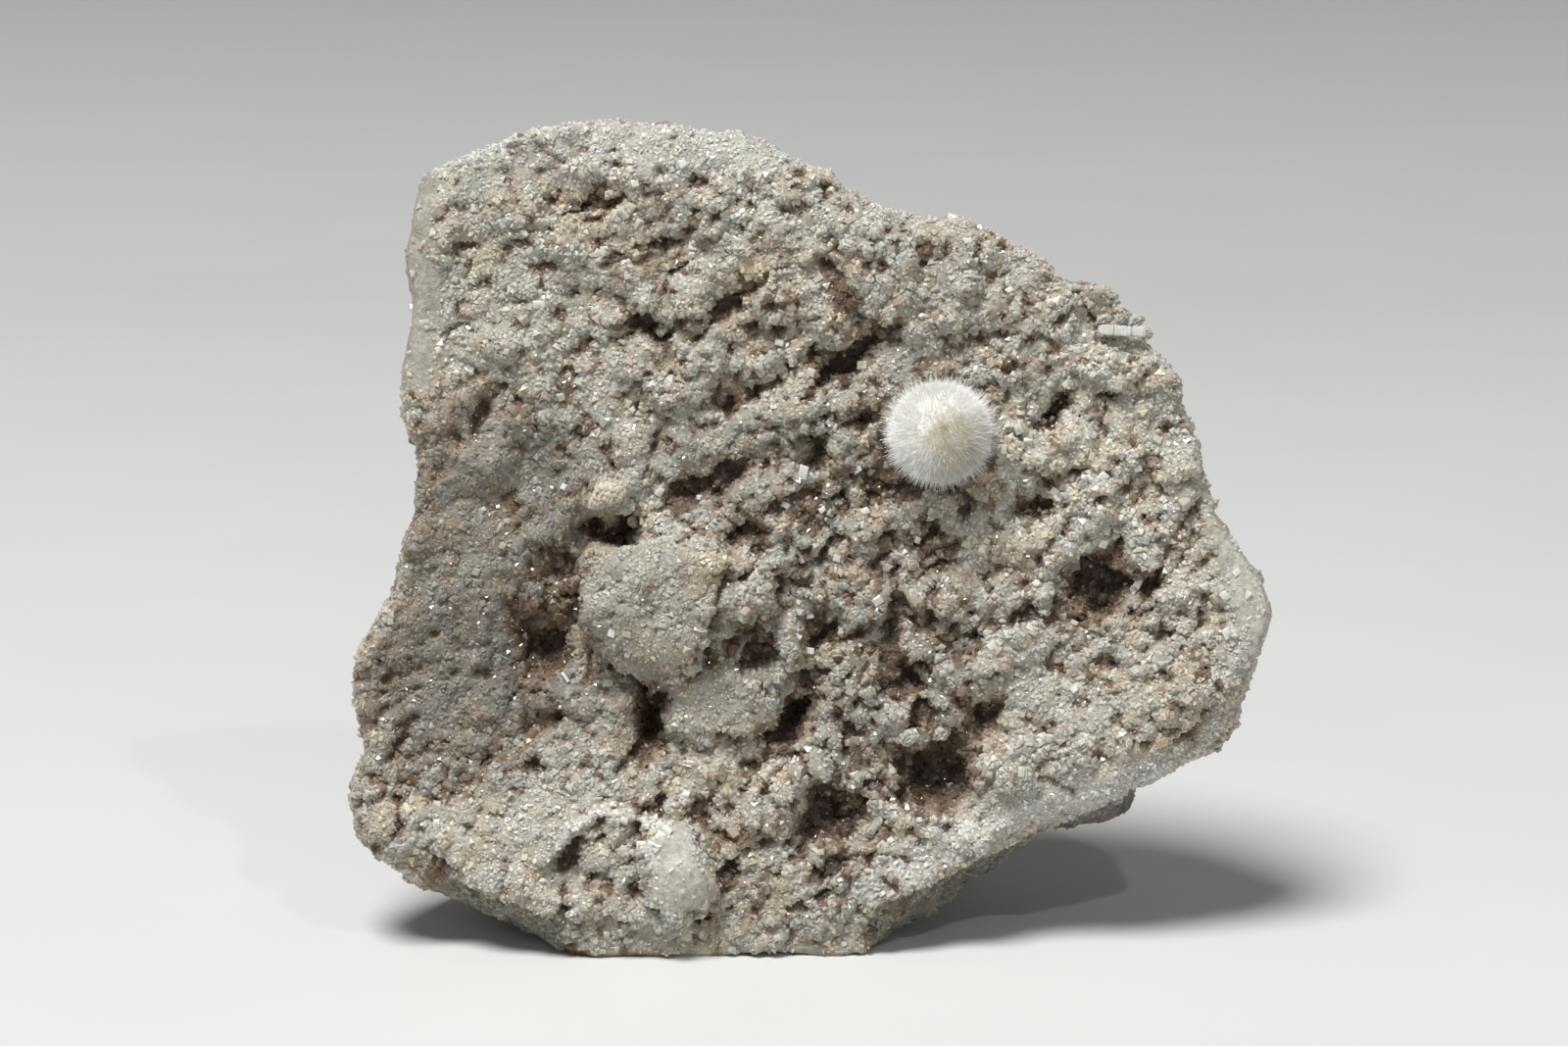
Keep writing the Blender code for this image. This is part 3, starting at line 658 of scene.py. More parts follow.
def prism_material(colour):
    """Cloudy white glassy crystal."""
    nodes = Nodes("prism_glass")
    cloud = nodes.ramp(nodes.noise(1.4, 4.0), 0.35, 0.65)
    white = (*colour, 1.0)
    grey = (colour[0] * 0.86, colour[1] * 0.86, colour[2] * 0.84, 1.0)
    clouded = nodes.mixed(1.0, nodes.mixed(cloud, grey, white), nodes.attribute("tint"), "MULTIPLY")
    nodes.feed("Base Color", clouded)
    nodes.feed("Roughness", nodes.ramp(nodes.noise(5.0), 0.3, 0.7, 0.12, 0.3))
    nodes.bump(nodes.noise(4.0), 0.03)
    nodes.set(IOR=BENDING, Transmission_Weight=0.15)
    return nodes.material


def floor_material(colour):
    """A matt floor that grows paler far away, as painted light that makes up for the lamps' falloff there.
    """
    nodes = Nodes("plain_floor")
    dim, pale = (tuple(share * part for part in colour) for share in (0.97, 1.6))
    near = nodes.mixed(nodes.ramp(nodes.noise(0.02, 2.0), 0.3, 0.7), (*dim, 1.0), (*colour, 1.0))
    length = nodes.add("ShaderNodeVectorMath", operation="LENGTH")
    nodes.join(nodes.place(), length.inputs[0])
    # Painted light: paler far away, where less lamp light reaches the floor
    far = nodes.ramp(length.outputs["Value"], 0.4, 1.4)
    nodes.feed("Base Color", nodes.mixed(far, near, (*pale, 1.0)))
    nodes.set(Roughness=0.8)
    return nodes.material


def length_setting(name, description, millimetres):
    """A length in the panel."""
    return bpy.props.FloatProperty(
        name=name, description=description, default=millimetres * MM, unit="LENGTH", precision=6)


def share_setting(name, description, default, most=1.0):
    """A share or a strength in the panel, from 0 up to its most."""
    return bpy.props.FloatProperty(name=name, description=description, default=default, min=0.0, max=most)


def count_setting(name, description, default):
    """A number of things in the panel."""
    return bpy.props.IntProperty(name=name, description=description, default=default)


def colour_setting(name, description, default):
    """A colour in the panel."""
    return bpy.props.FloatVectorProperty(
        name=name, description=description, default=default, subtype="COLOR")


class MatrixSettings(bpy.types.PropertyGroup):
    """Sizes and colours of the stone's skin."""

    detail: length_setting("Skin detail", "Side of the skin's faces", 0.47)
    clump_spacing: length_setting("Clump spacing", "How far apart the clumps of the crust are", 2.4)
    clump_height: length_setting("Clump height", "How far the clumps stand out", 1.25)
    hollow_depth: length_setting("Hollow depth", "How far the brown hollows sink in", 1.0)
    break_height: length_setting("Break height", "How far the broken facets stand out", 0.8)
    # Painted shade between the crystals: how bright the ground between them is kept
    shade_between: share_setting("Shade between", "How bright the ground is between the crystals", 0.95)
    bare: colour_setting("Bare stone", "Broken sides and back", (0.36, 0.34, 0.30))
    chalk: colour_setting("Chalky stone", "Pale broken rim", (0.56, 0.55, 0.51))
    # Grey for grey patches, also used as painted shade on the underside
    grey_and_shade: colour_setting("Grey stone", "Grey patches and the underside", (0.10, 0.10, 0.088))


class CrustSettings(bpy.types.PropertyGroup):
    """Sizes of the crust's crystals."""

    size: length_setting("Crystal size", "Common width of a crystal", 0.48)
    count: count_setting("Crystals", "About how many crystals cover the face", 58500)
    sink: share_setting("Sink", "Share of their size that the crystals are set into the crust", 0.25, 0.5)
    gloss: share_setting("Bright facets", "Share of crystals with clean bright facets", 0.3)


class BallSettings(bpy.types.PropertyGroup):
    """Sizes and colours of the ball of needles."""

    radius: length_setting("Radius", "From the middle to the longest tips", 6.1)
    dense: length_setting("Dense radius", "Where the needles stop hiding each other", 5.05)
    core: length_setting("Core radius", "Where the needles have grown into one mass", 4.5)
    needles: count_setting("Needles", "How many needles there are", 36000)
    hairs: count_setting("Long hairs", "Needles that stand out of the ball", 3600)
    hair_width: length_setting("Hair width", "Width of a long hair", 0.034)
    width: length_setting("Needle width", "Width at the thick end", 0.066)
    white: colour_setting("White", "Colour of the needles", (0.90, 0.895, 0.865))
    cream: colour_setting("Cream", "Warm needles", (0.74, 0.67, 0.50))


class PrismSettings(bpy.types.PropertyGroup):
    """Sizes and colour of the prism crystal."""

    length: length_setting("Length", "Length of the crystal", 4.6)
    height: length_setting("Height", "Height of the crystal", 1.02)
    colour: colour_setting("Colour", "Colour of the crystal", (0.58, 0.585, 0.55))


class StageSettings(bpy.types.PropertyGroup):
    """Floor, lights and camera."""

    floor: colour_setting("Floor", "Colour of the floor", (0.55, 0.55, 0.54))
    air: share_setting("Room light", "Strength of the light from all round", 0.14)
    horizon: share_setting("Horizon light", "Strength of the light from low down", 0.36)
    distance: length_setting("Camera distance", "From the camera to the face", 422.0)


class STONE_OT_stage(bpy.types.Operator):
    """Makes the floor, the lights and the camera"""

    bl_idname = "stone.stage"
    bl_label = "Stage"

    def execute(self, context):
        settings = context.scene.stone_stage
        self.make_floor(settings)
        self.make_world(context, settings)
        self.make_lights()
        self.make_camera(context, settings)
        return {"FINISHED"}

    def make_floor(self, settings):
        """A plain square floor at height 0."""
        half = FLOOR_SIDE / 2.0
        points = [(x * half, y * half, 0.0) for x, y in ((-1, -1), (1, -1), (1, 1), (-1, 1))]
        mesh = bpy.data.meshes.new("floor")
        mesh.from_pydata([Vector(point) * MM for point in points], [], [(0, 1, 2, 3)])
        mesh.materials.append(floor_material(settings.floor))
        floor = bpy.data.objects.new("floor", mesh)
        bpy.context.scene.collection.objects.link(floor)

    def make_world(self, context, settings):
        """Soft light from all round, stronger near the horizon."""
        world = bpy.data.worlds.new("room")
        world.use_nodes = True
        nodes = world.node_tree.nodes
        background = nodes["Background"]
        background.inputs["Color"].default_value = (1.0, 1.0, 1.0, 1.0)
        around = nodes.new("ShaderNodeTexCoord")
        parts = nodes.new("ShaderNodeSeparateXYZ")
        height = nodes.new("ShaderNodeMapRange")
        for key, value in ((1, 0.12), (2, 0.45), (3, settings.horizon), (4, settings.air)):
            height.inputs[key].default_value = value
        join = world.node_tree.links.new
        join(around.outputs["Generated"], parts.inputs[0])
        join(parts.outputs[2], height.inputs[0])
        join(height.outputs[0], background.inputs["Strength"])
        context.scene.world = world
        context.scene.view_settings.view_transform = "Standard"

    def make_lights(self):
        """Round area lamps that face the middle of the face."""
        for name, place, width, power in LAMPS:
            light = bpy.data.lights.new(name, "AREA")
            light.shape = "DISK"
            light.size = width * MM
            light.energy = power
            lamp = bpy.data.objects.new(name, light)
            bpy.context.scene.collection.objects.link(lamp)
            lamp.location = Vector(place) * MM
            away = Vector(place) - Vector(from_face(LIT_PLACE))
            lamp.rotation_euler = away.to_track_quat("Z", "Y").to_euler()

    def make_camera(self, context, settings):
        """A camera that looks squarely at the face."""
        camera = bpy.data.cameras.new("camera")
        camera.lens = 100.0
        camera.sensor_width = 36.0
        camera.clip_start = 0.01
        camera.clip_end = 20.0
        holder = bpy.data.objects.new("camera", camera)
        context.scene.collection.objects.link(holder)
        holder.location = Vector(from_face(PICTURE_MIDDLE) * MM + OUTWARD * settings.distance)
        holder.rotation_euler = Vector(OUTWARD).to_track_quat("Z", "Y").to_euler()
        context.scene.camera = holder


def ledges(face_points, turn, spacing, seed):
    """Ledges that climb to the right: each sinks back slowly above its lip, and is undercut below."""
    turned = face_points @ turn_matrix(turn)
    drift = 1.1 * swell(turned / np.array((1.5, 1.0, 1.0)), 1.5 * spacing, seed)
    drift += 0.6 * swell(turned, 0.6 * spacing, seed + 1)
    phase = turned[:, 1] / spacing + drift
    share = phase - np.floor(phase)
    return (1.0 - share) * ramp(share, 0.0, 0.16)


def clumps(points, spacing, seed):
    """Clumps of their own heights with grooves between them, from 0 to about 1.3."""
    warped = points + 0.35 * spacing * layered(points, 0.8 * spacing, seed + 7)[:, None]
    nearest, _, number = cells(warped, spacing, seed)
    return np.sqrt(np.clip(1.0 - (nearest / 0.85) ** 2, 0.0, 1.0)) * (0.4 + 0.9 * number)


def crust_relief(face_points, fine, settings):
    """How far the knobs of the crust stand out, in millimetres."""
    spacing = settings.clump_spacing / MM
    height = settings.clump_height / MM
    stretched = face_points @ turn_matrix(30.0) / np.array((1.25, 1.0, 1.0))
    strength = np.clip(1.0 + 0.5 * swell(face_points, 3.0 * spacing, 37), 0.6, 1.5)
    relief = clumps(stretched, spacing, 11) - 0.62
    relief += 0.5 * (clumps(face_points, 0.45 * spacing, 17) - 0.62)
    ledged = 0.35 * (1.0 - 0.8 * ramp(-face_points[:, 0], 14.0, 24.0)) * (1.0 - np.maximum(fine, 0.0))
    relief += ledged * (ledges(face_points, 32.0, 1.6 * spacing, 13) - 0.45)
    relief += 0.7 * swell(stretched, 1.4 * spacing, 19)
    relief = height * relief * strength * (1.0 - 0.9 * fine)
    return relief - settings.hollow_depth / MM * hollows(face_points, fine) * (1.0 - 0.4 * fine)


def baldness(face_points):
    """1 on the smooth patches that have hardly any crystals."""
    spots = jittered(face_points, 0.5, 1.2, 381)
    bald = np.zeros(len(face_points))
    for corners in BALD_PATCHES:
        nearest, inside = from_line(spots, corners, True)
        bald = np.maximum(bald, ramp(np.where(inside, nearest, -nearest), -0.1, 0.5))
    return bald


def hollows(face_points, fine):
    """Ragged hollows between the clumps, from 0 to 1, which sink in and where the crust is browned as stain
    and darkened as painted shade.
    """
    stretched = face_points @ turn_matrix(30.0) / np.array((1.5, 1.0, 1.0))
    least = 0.31 + np.where(fine > 0.0, 0.22, 0.42) * fine
    wide = ramp(layered(stretched, 2.3, 353, 4) - least, 0.0, 0.2)
    small = ramp(layered(face_points, 1.15, 359, 3) - 0.55 * least, 0.0, 0.3)
    bald = 1.0 - baldness(face_points)
    return np.maximum(wide, 0.75 * small) * bald


def from_line(spots, corners, closed):
    """Distance to a line through corners, and whether each spot lies inside it."""
    corners = np.array(corners)
    inside = np.zeros(len(spots), bool)
    nearest = np.full(len(spots), np.inf)
    ends = np.roll(corners, -1, axis=0)
    pairs = list(zip(corners, ends))
    for start, end in pairs if closed else pairs[:-1]:
        run = end - start
        away = spots - start
        crosses = (start[1] > spots[:, 1]) != (end[1] > spots[:, 1])
        inside ^= crosses & (away[:, 0] < away[:, 1] * run[0] / (run[1] + 1e-9))
        share = np.clip(away @ run / (run @ run), 0.0, 1.0)
        nearest = np.minimum(nearest, np.linalg.norm(away - share[:, None] * run, axis=1))
    return nearest, inside


def jittered(face_points, reach, spacing, seed):
    """Places on the face, shifted a little so that straight lines come out ragged."""
    spots = face_points[:, :2].copy()
    spots[:, 0] += reach * layered(face_points, spacing, seed)
    spots[:, 1] += reach * layered(face_points, spacing, seed + 4)
    return spots


def block_step(face_points):
    """Extra height of the flat-topped blocks and of the ridges, with ragged edges."""
    spots = jittered(face_points, 1.0, 1.8, 341)
    height = np.zeros(len(face_points))
    for corners, rise in BLOCKS:
        nearest, inside = from_line(spots, corners, True)
        height = np.maximum(height, rise * ramp(np.where(inside, nearest, -nearest), -0.25, 0.35))
    for corners, width, rise in RIDGES:
        nearest, _ = from_line(spots, corners, False)
        height = np.maximum(height, rise * (1.0 - ramp(nearest, 0.3 * width, 1.5 * width)))
    return height


def clearance(face_points, from_ball):
    """1 where the skin may stand out, and 0 close to the ball and to the prism crystal."""
    from_prism = np.abs(face_points[:, :2] - PRISM_IN_FACE[:2]) - np.array((2.3, 0.6))
    return ramp(from_ball, 6.6, 8.0) * ramp(from_prism.max(axis=1), 0.1, 1.0)


def deepness(skin, face_points, from_ball):
    """How deep every point lies in crevices, gaps, pits and the ball's bowl, from 0 to 1; it browns and
    darkens the crust there, as brownish stain and as painted shade.
    """
    out = to_face(skin.points)[:, 2]
    crevice = ramp(skin.relaxed(out, 5) - out, 0.02, 0.3)
    gap = ramp(skin.relaxed(out, 24) - out, 0.05, 0.8)
    deep = ramp(skin.relaxed(out, 130) - out, 0.2, 2.0)
    pits = pit_depth(face_points, 1.35) * (1.0 + 0.8 * layered(face_points, 1.6, 347))
    # Painted shadow: a ring round the ball is darkened
    near_ball = 1.0 - ramp(from_ball, 5.6, 7.8)
    total = 0.3 * crevice + 0.35 * gap + 0.4 * deep + 0.75 * ramp(pits, 0.5, 3.2) + 0.45 * near_ball
    return np.clip(total - 0.05, 0.0, 1.0)


def displaced_skin(settings):
    """The stone's skin with its knobs, pits and broken facets."""
    skin = solid_as_grid("matrix", settings.detail)
    resting = skin.points[:, 2] < 0.12
    even = skin.relaxed(skin.points, 5)
    even[resting] = skin.points[resting]
    skin.points = even
    face_points = to_face(even)
    from_ball = np.linalg.norm(face_points - BALL_IN_FACE, axis=1)
    broad = unit(skin.relaxed(skin.normals(), 8))
    facing = broad @ OUTWARD
    skin.bare = bareness(face_points, facing)
    skin.fine = fineness(face_points)
    covered = 1.0 - skin.bare
    near_floor = ramp(even[:, 2], 0.1, 1.6)
    clear = clearance(face_points, from_ball) * near_floor
    facets = broken(face_points, 6.0, 41) + 0.45 * broken(face_points, 2.3, 47)
    facets = settings.break_height / MM * (facets + 0.5 * layered(face_points, 1.6, 53))
    crust = crust_relief(face_points, skin.fine, settings) * (0.35 + 0.65 * ramp(facing, 0.3, 0.9))
    crust = crust * (1.0 - 0.7 * baldness(face_points)) + block_step(face_points)
    relief = np.where(skin.bare > 0.5, facets, crust)
    drooping = unit(broad - 0.6 * FACE_AXES[1] * covered[:, None])
    shifted = even + drooping * np.where(relief > 0.0, relief * clear, relief * near_floor)[:, None]
    sunk = PIT_SHARE * pit_depth(face_points) * covered * clear
    shifted += (0.2 * FACE_AXES[1] - OUTWARD) * sunk[:, None]
    close_in = BOWL_GAP * (1.0 - ramp(from_ball, 6.5, 8.5))
    shifted -= unit(face_points - BALL_IN_FACE) @ FACE_AXES * close_in[:, None]
    shifted[:, 2] = np.maximum(shifted[:, 2], 0.0)
    shifted[resting] = even[resting]
    skin.points = shifted
    # How far the crust is browned and darkened: brownish stain and painted shade in hollows, pits and round
    # the ball
    skin.brown = deepness(skin, face_points, from_ball) * covered
    return skin


def turn_matrix(degrees):
    """Turns face points, as rows, so that this direction lies along the first column."""
    angle = math.radians(degrees)
    return np.array((
        (math.cos(angle), -math.sin(angle), 0.0),
        (math.sin(angle), math.cos(angle), 0.0),
        (0.0, 0.0, 1.0),
    ))


def stained(face_points, colours):
    """Colours with the named stains and the white ridges laid over them."""
    spots = jittered(face_points, 1.0, 1.8, 341)
    for corners, width, _ in RIDGES:
        nearest, _ = from_line(spots, corners, False)
        share = (0.65 if width > 1.0 else 0.5) * (1.0 - ramp(nearest, 0.8 * width, 2.2 * width))
        colours = towards(colours, WHITE, share)
    ragged = face_points[:, :2] + 0.9 * layered(face_points, 1.8, 401)[:, None]
    for *place, colour, strength in STAINS:
        colours = towards(colours, colour, inside_of(ragged, np.array([place]))[:, 0] * strength)
    return colours


def toned_and_lit(face_points, colours):
    """Colours made duller or brighter by place, partly as the crust's own tone and partly as painted light
    and shade.
    """
    ragged = face_points[:, :2] + 2.0 * layered(face_points, 6.0, 411)[:, None]
    change = np.ones(len(face_points))
    tones = np.array(TONE_AND_LIGHT_PLACES)
    for tone, inside in zip(tones[:, 4], inside_of(ragged, tones, 0.6, 1.3).T):
        change *= 1.0 + tone * inside
    grey = UNDER * (1.0 + 0.9 * layered(face_points, 1.1, 417))[:, None]
    return colours * change[:, None] * (1.0 + (grey - 1.0) * under_rim(face_points)[:, None])


def crust_colours(face_points, browning, chance):
    """The crust's colour from patches, chance, stains, tones and how deep it lies; the tones are partly
    painted light and shade, and depth browns it as stain and darkens it as painted shade.
    """
    fine = fineness(face_points)
    browning = np.maximum(browning, 0.0) + (0.75 - 0.2 * fine) * hollows(face_points, fine)
    warm = 0.55 * layered(face_points, 6.0, 501) + 0.65 * swell(face_points, 1.6, 505)
    warm = ramp(warm + 0.25 * (chance[:, 0] - 0.5), -0.2, 0.5)
    cold = ramp(layered(face_points, 3.0, 507) + 0.25 * (chance[:, 1] - 0.5), 0.0, 0.6)
    rusty = ramp(layered(face_points, 1.7, 511) + 0.3 * (chance[:, 2] - 0.5), 0.2, 0.6)
    rusty = np.maximum(0.3 * rusty, 0.5 * ramp(chance[:, 2], 0.88, 0.93))
    colours = towards(GREY, BEIGE, warm)
    colours = towards(colours, COOL, 0.7 * cold * (1.0 - 0.7 * warm))
    colours = towards(colours, RUST, rusty)
    colours = toned_and_lit(face_points, stained(face_points, colours))
    colours = colours * (1.0 + 0.16 * layered(face_points, 9.0, 523)[:, None])
    # Tan, then near-black deeper in: brownish stain and painted shade in the hollows
    colours = towards(colours, TAN, ramp(browning, 0.1, 0.65))
    return towards(colours, SHADOWED_BROWN, ramp(browning, 0.5, 1.15))


def skin_colours(skin, settings):
    """Colour of every point of the stone's skin."""
    face_points = to_face(skin.points)
    across, up, out = face_points.T
    bare, chalk, grey_and_shade = np.array(settings.bare), np.array(settings.chalk), np.array(settings.grey_and_shade)
    crust = crust_colours(face_points, skin.brown, np.full((len(face_points), 3), 0.5))
    # The ground between the crystals is darkened a little towards tan: painted shade between them
    crust = (0.85 * crust + 0.15 * TAN) * settings.shade_between
    patch = stained(face_points, np.repeat(PATCH[None], len(face_points), axis=0))
    patch = patch * (0.92 + 0.3 * layered(face_points, 1.6, 71, 4)[:, None])
    patch = patch * (1.0 - 0.25 * ramp(-across, 30.0, 34.0))[:, None]
    crust = towards(crust, patch, baldness(face_points))
    stone = towards(bare, 1.5 * grey_and_shade, 0.6 * ramp(layered(face_points, 7.0, 73), -0.1, 0.35))
    stone = towards(stone, RUST, 0.45 * ramp(layered(face_points, 9.0, 79), 0.12, 0.5))
    chalky = ramp(across, 36.0, 42.0) * ramp(up, 18.0, 26.0) * ramp(out, -14.0, -6.0)
    stone = towards(stone, chalk, chalky)
    # Painted shade: the underside at the lower right is darkened towards the grey
    painted_underside_shade = ramp(-up, -19.0, -13.0) * ramp(across, 5.0, 12.0) * ramp(out, -16.0, -8.0)
    stone = towards(stone, grey_and_shade, 0.8 * painted_underside_shade)
    grain = lattice(np.floor(face_points / 0.6).astype(np.int64), 83)[:, None]
    stone = stone * (0.5 + 0.7 * grain + 0.6 * layered(face_points, 1.8, 87)[:, None])
    return np.clip(towards(crust, stone, skin.bare), 0.02, 0.9)


class STONE_OT_matrix(bpy.types.Operator):
    """Makes the stone's skin: the ground of the crust, the broken sides and the back"""

    bl_idname = "stone.matrix"
    bl_label = "Stone"

    def execute(self, context):
        settings = context.scene.stone_matrix
        skin = displaced_skin(settings)
        made["skin"] = skin
        piece = make_piece("stone", skin.points, [skin.quads], stone_material(), "matrix")
        paint(piece.data, "tint", skin_colours(skin, settings))
        unwrap(piece.data, box_map(skin.points, skin.quads, skin.normals()))
        piece.data.shade_smooth()
        return {"FINISHED"}


def grain_shape():
    """An eight-faced grain."""
    points = np.array([
        (0.5, 0.0, 0.0), (0.0, 0.5, 0.0), (-0.5, 0.0, 0.0), (0.0, -0.5, 0.0),
        (0.0, 0.0, 0.55), (0.0, 0.0, -0.5),
    ])
    faces = []
    for i in range(4):
        faces += [(i, (i + 1) % 4, 4), ((i + 1) % 4, i, 5)]
    return points, np.array(faces)


def wedge_shape():
    """A three-sided column."""
    ring = [(0.5, 0.0), (-0.25, 0.43), (-0.25, -0.43)]
    points = np.array([(x, y, z) for z in (-0.5, 0.5) for x, y in ring])
    faces = [(0, 2, 1), (3, 4, 5)]
    for i in range(3):
        after = (i + 1) % 3
        faces += [(i, after, after + 3), (i, after + 3, i + 3)]
    return points, np.array(faces)


def block_shape():
    """A six-sided block, as two triangles a side."""
    points = np.array([(x, y, z) for z in (-0.5, 0.5) for y in (-0.5, 0.5) for x in (-0.5, 0.5)])
    faces = [
        (0, 2, 3), (0, 3, 1), (4, 5, 7), (4, 7, 6), (0, 1, 5), (0, 5, 4),
        (2, 6, 7), (2, 7, 3), (0, 4, 6), (0, 6, 2), (1, 3, 7), (1, 7, 5),
    ]
    return points, np.array(faces)


def point_shape():
    """A four-sided crystal with a pointed end."""
    ring = [(0.5, 0.0), (0.0, 0.5), (-0.5, 0.0), (0.0, -0.5)]
    points = np.array([(x, y, z) for z in (-0.5, 0.3) for x, y in ring] + [(0.0, 0.0, 0.7)])
    faces = [(0, 3, 2), (0, 2, 1)]
    for i in range(4):
        after = (i + 1) % 4
        faces += [(i, after, after + 4), (i, after + 4, i + 4), (i + 4, after + 4, 8)]
    return points, np.array(faces)


def hull_faces(aims):
    """Triangles of the closed skin through points on a ball."""
    hull = bmesh.new()
    for aim in aims:
        hull.verts.new(Vector(aim))
    hull.verts.ensure_lookup_table()
    hull.verts.index_update()
    bmesh.ops.convex_hull(hull, input=hull.verts)
    faces = np.array([[vert.index for vert in face.verts] for face in hull.faces])
    hull.free()
    return faces


def lump_shape():
    """A rounded lump, whose surface is broken up by small noise."""
    aims = even_directions(48)
    height = 1.0 + 0.22 * swell(aims, 0.6, 701) + 0.16 * swell(aims, 0.2, 703)
    return 0.46 * aims * height[:, None], hull_faces(aims)


def cluster_shape():
    """A knob of three dozen small crystals."""
    form, sides = block_shape()
    points, faces = [], []
    for index, aim in enumerate(even_directions(36)):
        turn = np.array(Euler(7.0 * aim).to_matrix())
        points.append((0.25 + 0.06 * math.sin(5.0 * index)) * form @ turn + 0.35 * aim)
        faces.append(sides + index * len(form))
    return np.vstack(points), np.vstack(faces)


# Short names for the grains' shapes, and how many points a block has
BLOCK, KNOB, LUMP = block_shape, cluster_shape, lump_shape
BLOCK_POINTS = 8

# Grains that stand out: shape, across, up, length, width, thickness, turn in degrees, colour
GRAINS = [
    (BLOCK, -1.0, 46.9, 1.6, 0.95, 0.7, 95, GLASS), (BLOCK, 4.2, 47.2, 0.9, 0.8, 0.6, 20, GLASS),
    (BLOCK, 31.6, 36.1, 1.4, 0.8, 0.6, 75, SNOW), (BLOCK, -1.5, 30.9, 0.8, 0.8, 0.7, 45, SNOW),
    (BLOCK, -0.5, 29.6, 1.3, 0.7, 0.5, 5, GLASS), (BLOCK, -0.4, 33.1, 1.0, 0.8, 0.6, 80, GLASS),
    (BLOCK, -19.4, 31.5, 1.0, 0.8, 0.6, 60, SNOW), (BLOCK, -24.4, 31.9, 0.8, 0.7, 0.5, 30, SNOW),
    (BLOCK, -18.7, 77.2, 0.8, 0.5, 0.5, 10, GLASS), (BLOCK, -14.9, 75.0, 0.8, 0.6, 0.5, 50, SNOW),
    (BLOCK, -7.2, 74.1, 0.7, 0.6, 0.5, 15, SNOW), (KNOB, -19.9, 44.8, 3.2, 2.8, 1.9, 25, PINKISH),
    (KNOB, -18.2, 43.6, 2.0, 2.0, 1.2, 60, SAND), (KNOB, -20.9, 44.0, 2.0, 1.8, 1.2, 10, PINKISH),
    (BLOCK, -32.4, 43.2, 1.2, 0.5, 0.4, 20, GLASS), (KNOB, -17.4, 42.2, 1.6, 1.6, 1.3, 40, CREAM),
    (BLOCK, -24.1, 27.0, 1.3, 0.35, 0.35, -60, SNOW), (BLOCK, 5.0, 43.1, 0.8, 0.7, 0.6, 45, SNOW),
    (BLOCK, 4.5, 30.2, 0.5, 0.45, 0.4, 30, SNOW), (BLOCK, 6.0, 33.1, 0.9, 0.7, 0.5, 70, SNOW),
    (BLOCK, -2.7, 43.7, 0.9, 0.7, 0.5, -30, GLASS), (BLOCK, 0.9, 43.3, 0.8, 0.6, 0.5, 25, SNOW),
    (BLOCK, -24.3, 45.5, 0.7, 0.6, 0.5, 40, SNOW), (BLOCK, -12.5, 41.2, 0.8, 0.6, 0.5, 0, SNOW),
    (BLOCK, -11.1, 44.5, 0.5, 0.5, 0.4, 0, SNOW), (BLOCK, -21.2, 33.8, 0.6, 0.5, 0.5, 0, SNOW),
    (BLOCK, 2.2, 37.4, 1.0, 0.3, 0.4, 88, SNOW), (BLOCK, 2.3, 38.6, 0.8, 0.7, 0.5, 0, GLASS),
    (BLOCK, 16.5, 25.6, 1.6, 0.14, 0.14, 35, HONEY), (BLOCK, 6.7, 30.0, 1.5, 0.13, 0.13, -40, HONEY),
    (BLOCK, 11.9, 29.3, 1.4, 0.12, 0.12, 20, HONEY), (BLOCK, 3.3, 38.6, 1.4, 0.14, 0.14, -28, HONEY),
    (BLOCK, -22.9, 73.8, 1.8, 0.09, 0.09, -50, SNOW), (BLOCK, -21.6, 73.6, 1.6, 0.08, 0.08, -75, SNOW),
    (BLOCK, -24.0, 73.5, 1.4, 0.08, 0.08, 60, SNOW), (BLOCK, 31.4, 47.3, 0.9, 0.7, 0.6, 15, SNOW),
    (BLOCK, 10.2, 13.4, 0.6, 0.5, 0.5, 0, SNOW), (BLOCK, 25.2, 25.9, 0.8, 0.6, 0.6, 30, SNOW),
    (BLOCK, 22.0, 21.0, 0.9, 0.8, 0.6, 10, SNOW), (BLOCK, 29.1, 24.6, 0.7, 0.6, 0.5, 45, GLASS),
    (BLOCK, 19.0, 19.9, 0.7, 0.6, 0.5, 20, GLASS), (BLOCK, 28.0, 46.5, 1.0, 0.9, 0.6, 35, SNOW),
    (LUMP, 22.3, 51.9, 1.1, 0.9, 0.8, 0, UMBER), (KNOB, 9.5, 35.6, 2.2, 1.8, 1.4, 20, BUFF),
    (KNOB, 9.2, 21.3, 2.2, 1.9, 1.9, 30, SAND), (KNOB, 12.4, 21.7, 2.2, 1.8, 1.9, 10, SAND),
    (LUMP, -12.4, 2.1, 1.8, 1.7, 1.4, 0, BUFF), (LUMP, 13.8, 6.1, 0.6, 0.5, 0.4, 0, OCHRE),
    (LUMP, -42.2, 32.5, 0.6, 0.5, 0.4, 0, OCHRE), (KNOB, 32.4, 60.5, 1.4, 1.6, 1.3, 0, BUFF),
    (KNOB, 31.4, 61.7, 1.9, 1.2, 0.9, 10, BUFF), (KNOB, 29.8, 61.8, 1.8, 1.2, 0.9, 70, BUFF),
    (KNOB, 28.3, 61.8, 1.7, 1.2, 0.9, 30, BUFF), (KNOB, 27.1, 60.9, 1.2, 1.2, 1.0, 60, BUFF),
    (KNOB, 31.2, 59.3, 1.9, 1.1, 0.9, 3, BUFF), (KNOB, 29.6, 59.3, 1.6, 1.1, 0.9, 0, BUFF),
    (KNOB, 28.1, 59.5, 1.6, 1.1, 0.9, 20, BUFF),
]

# Large crystals: their share of all, and their size against the common one
LARGE_SHARE = 0.012
LARGE_SIZE = 1.6

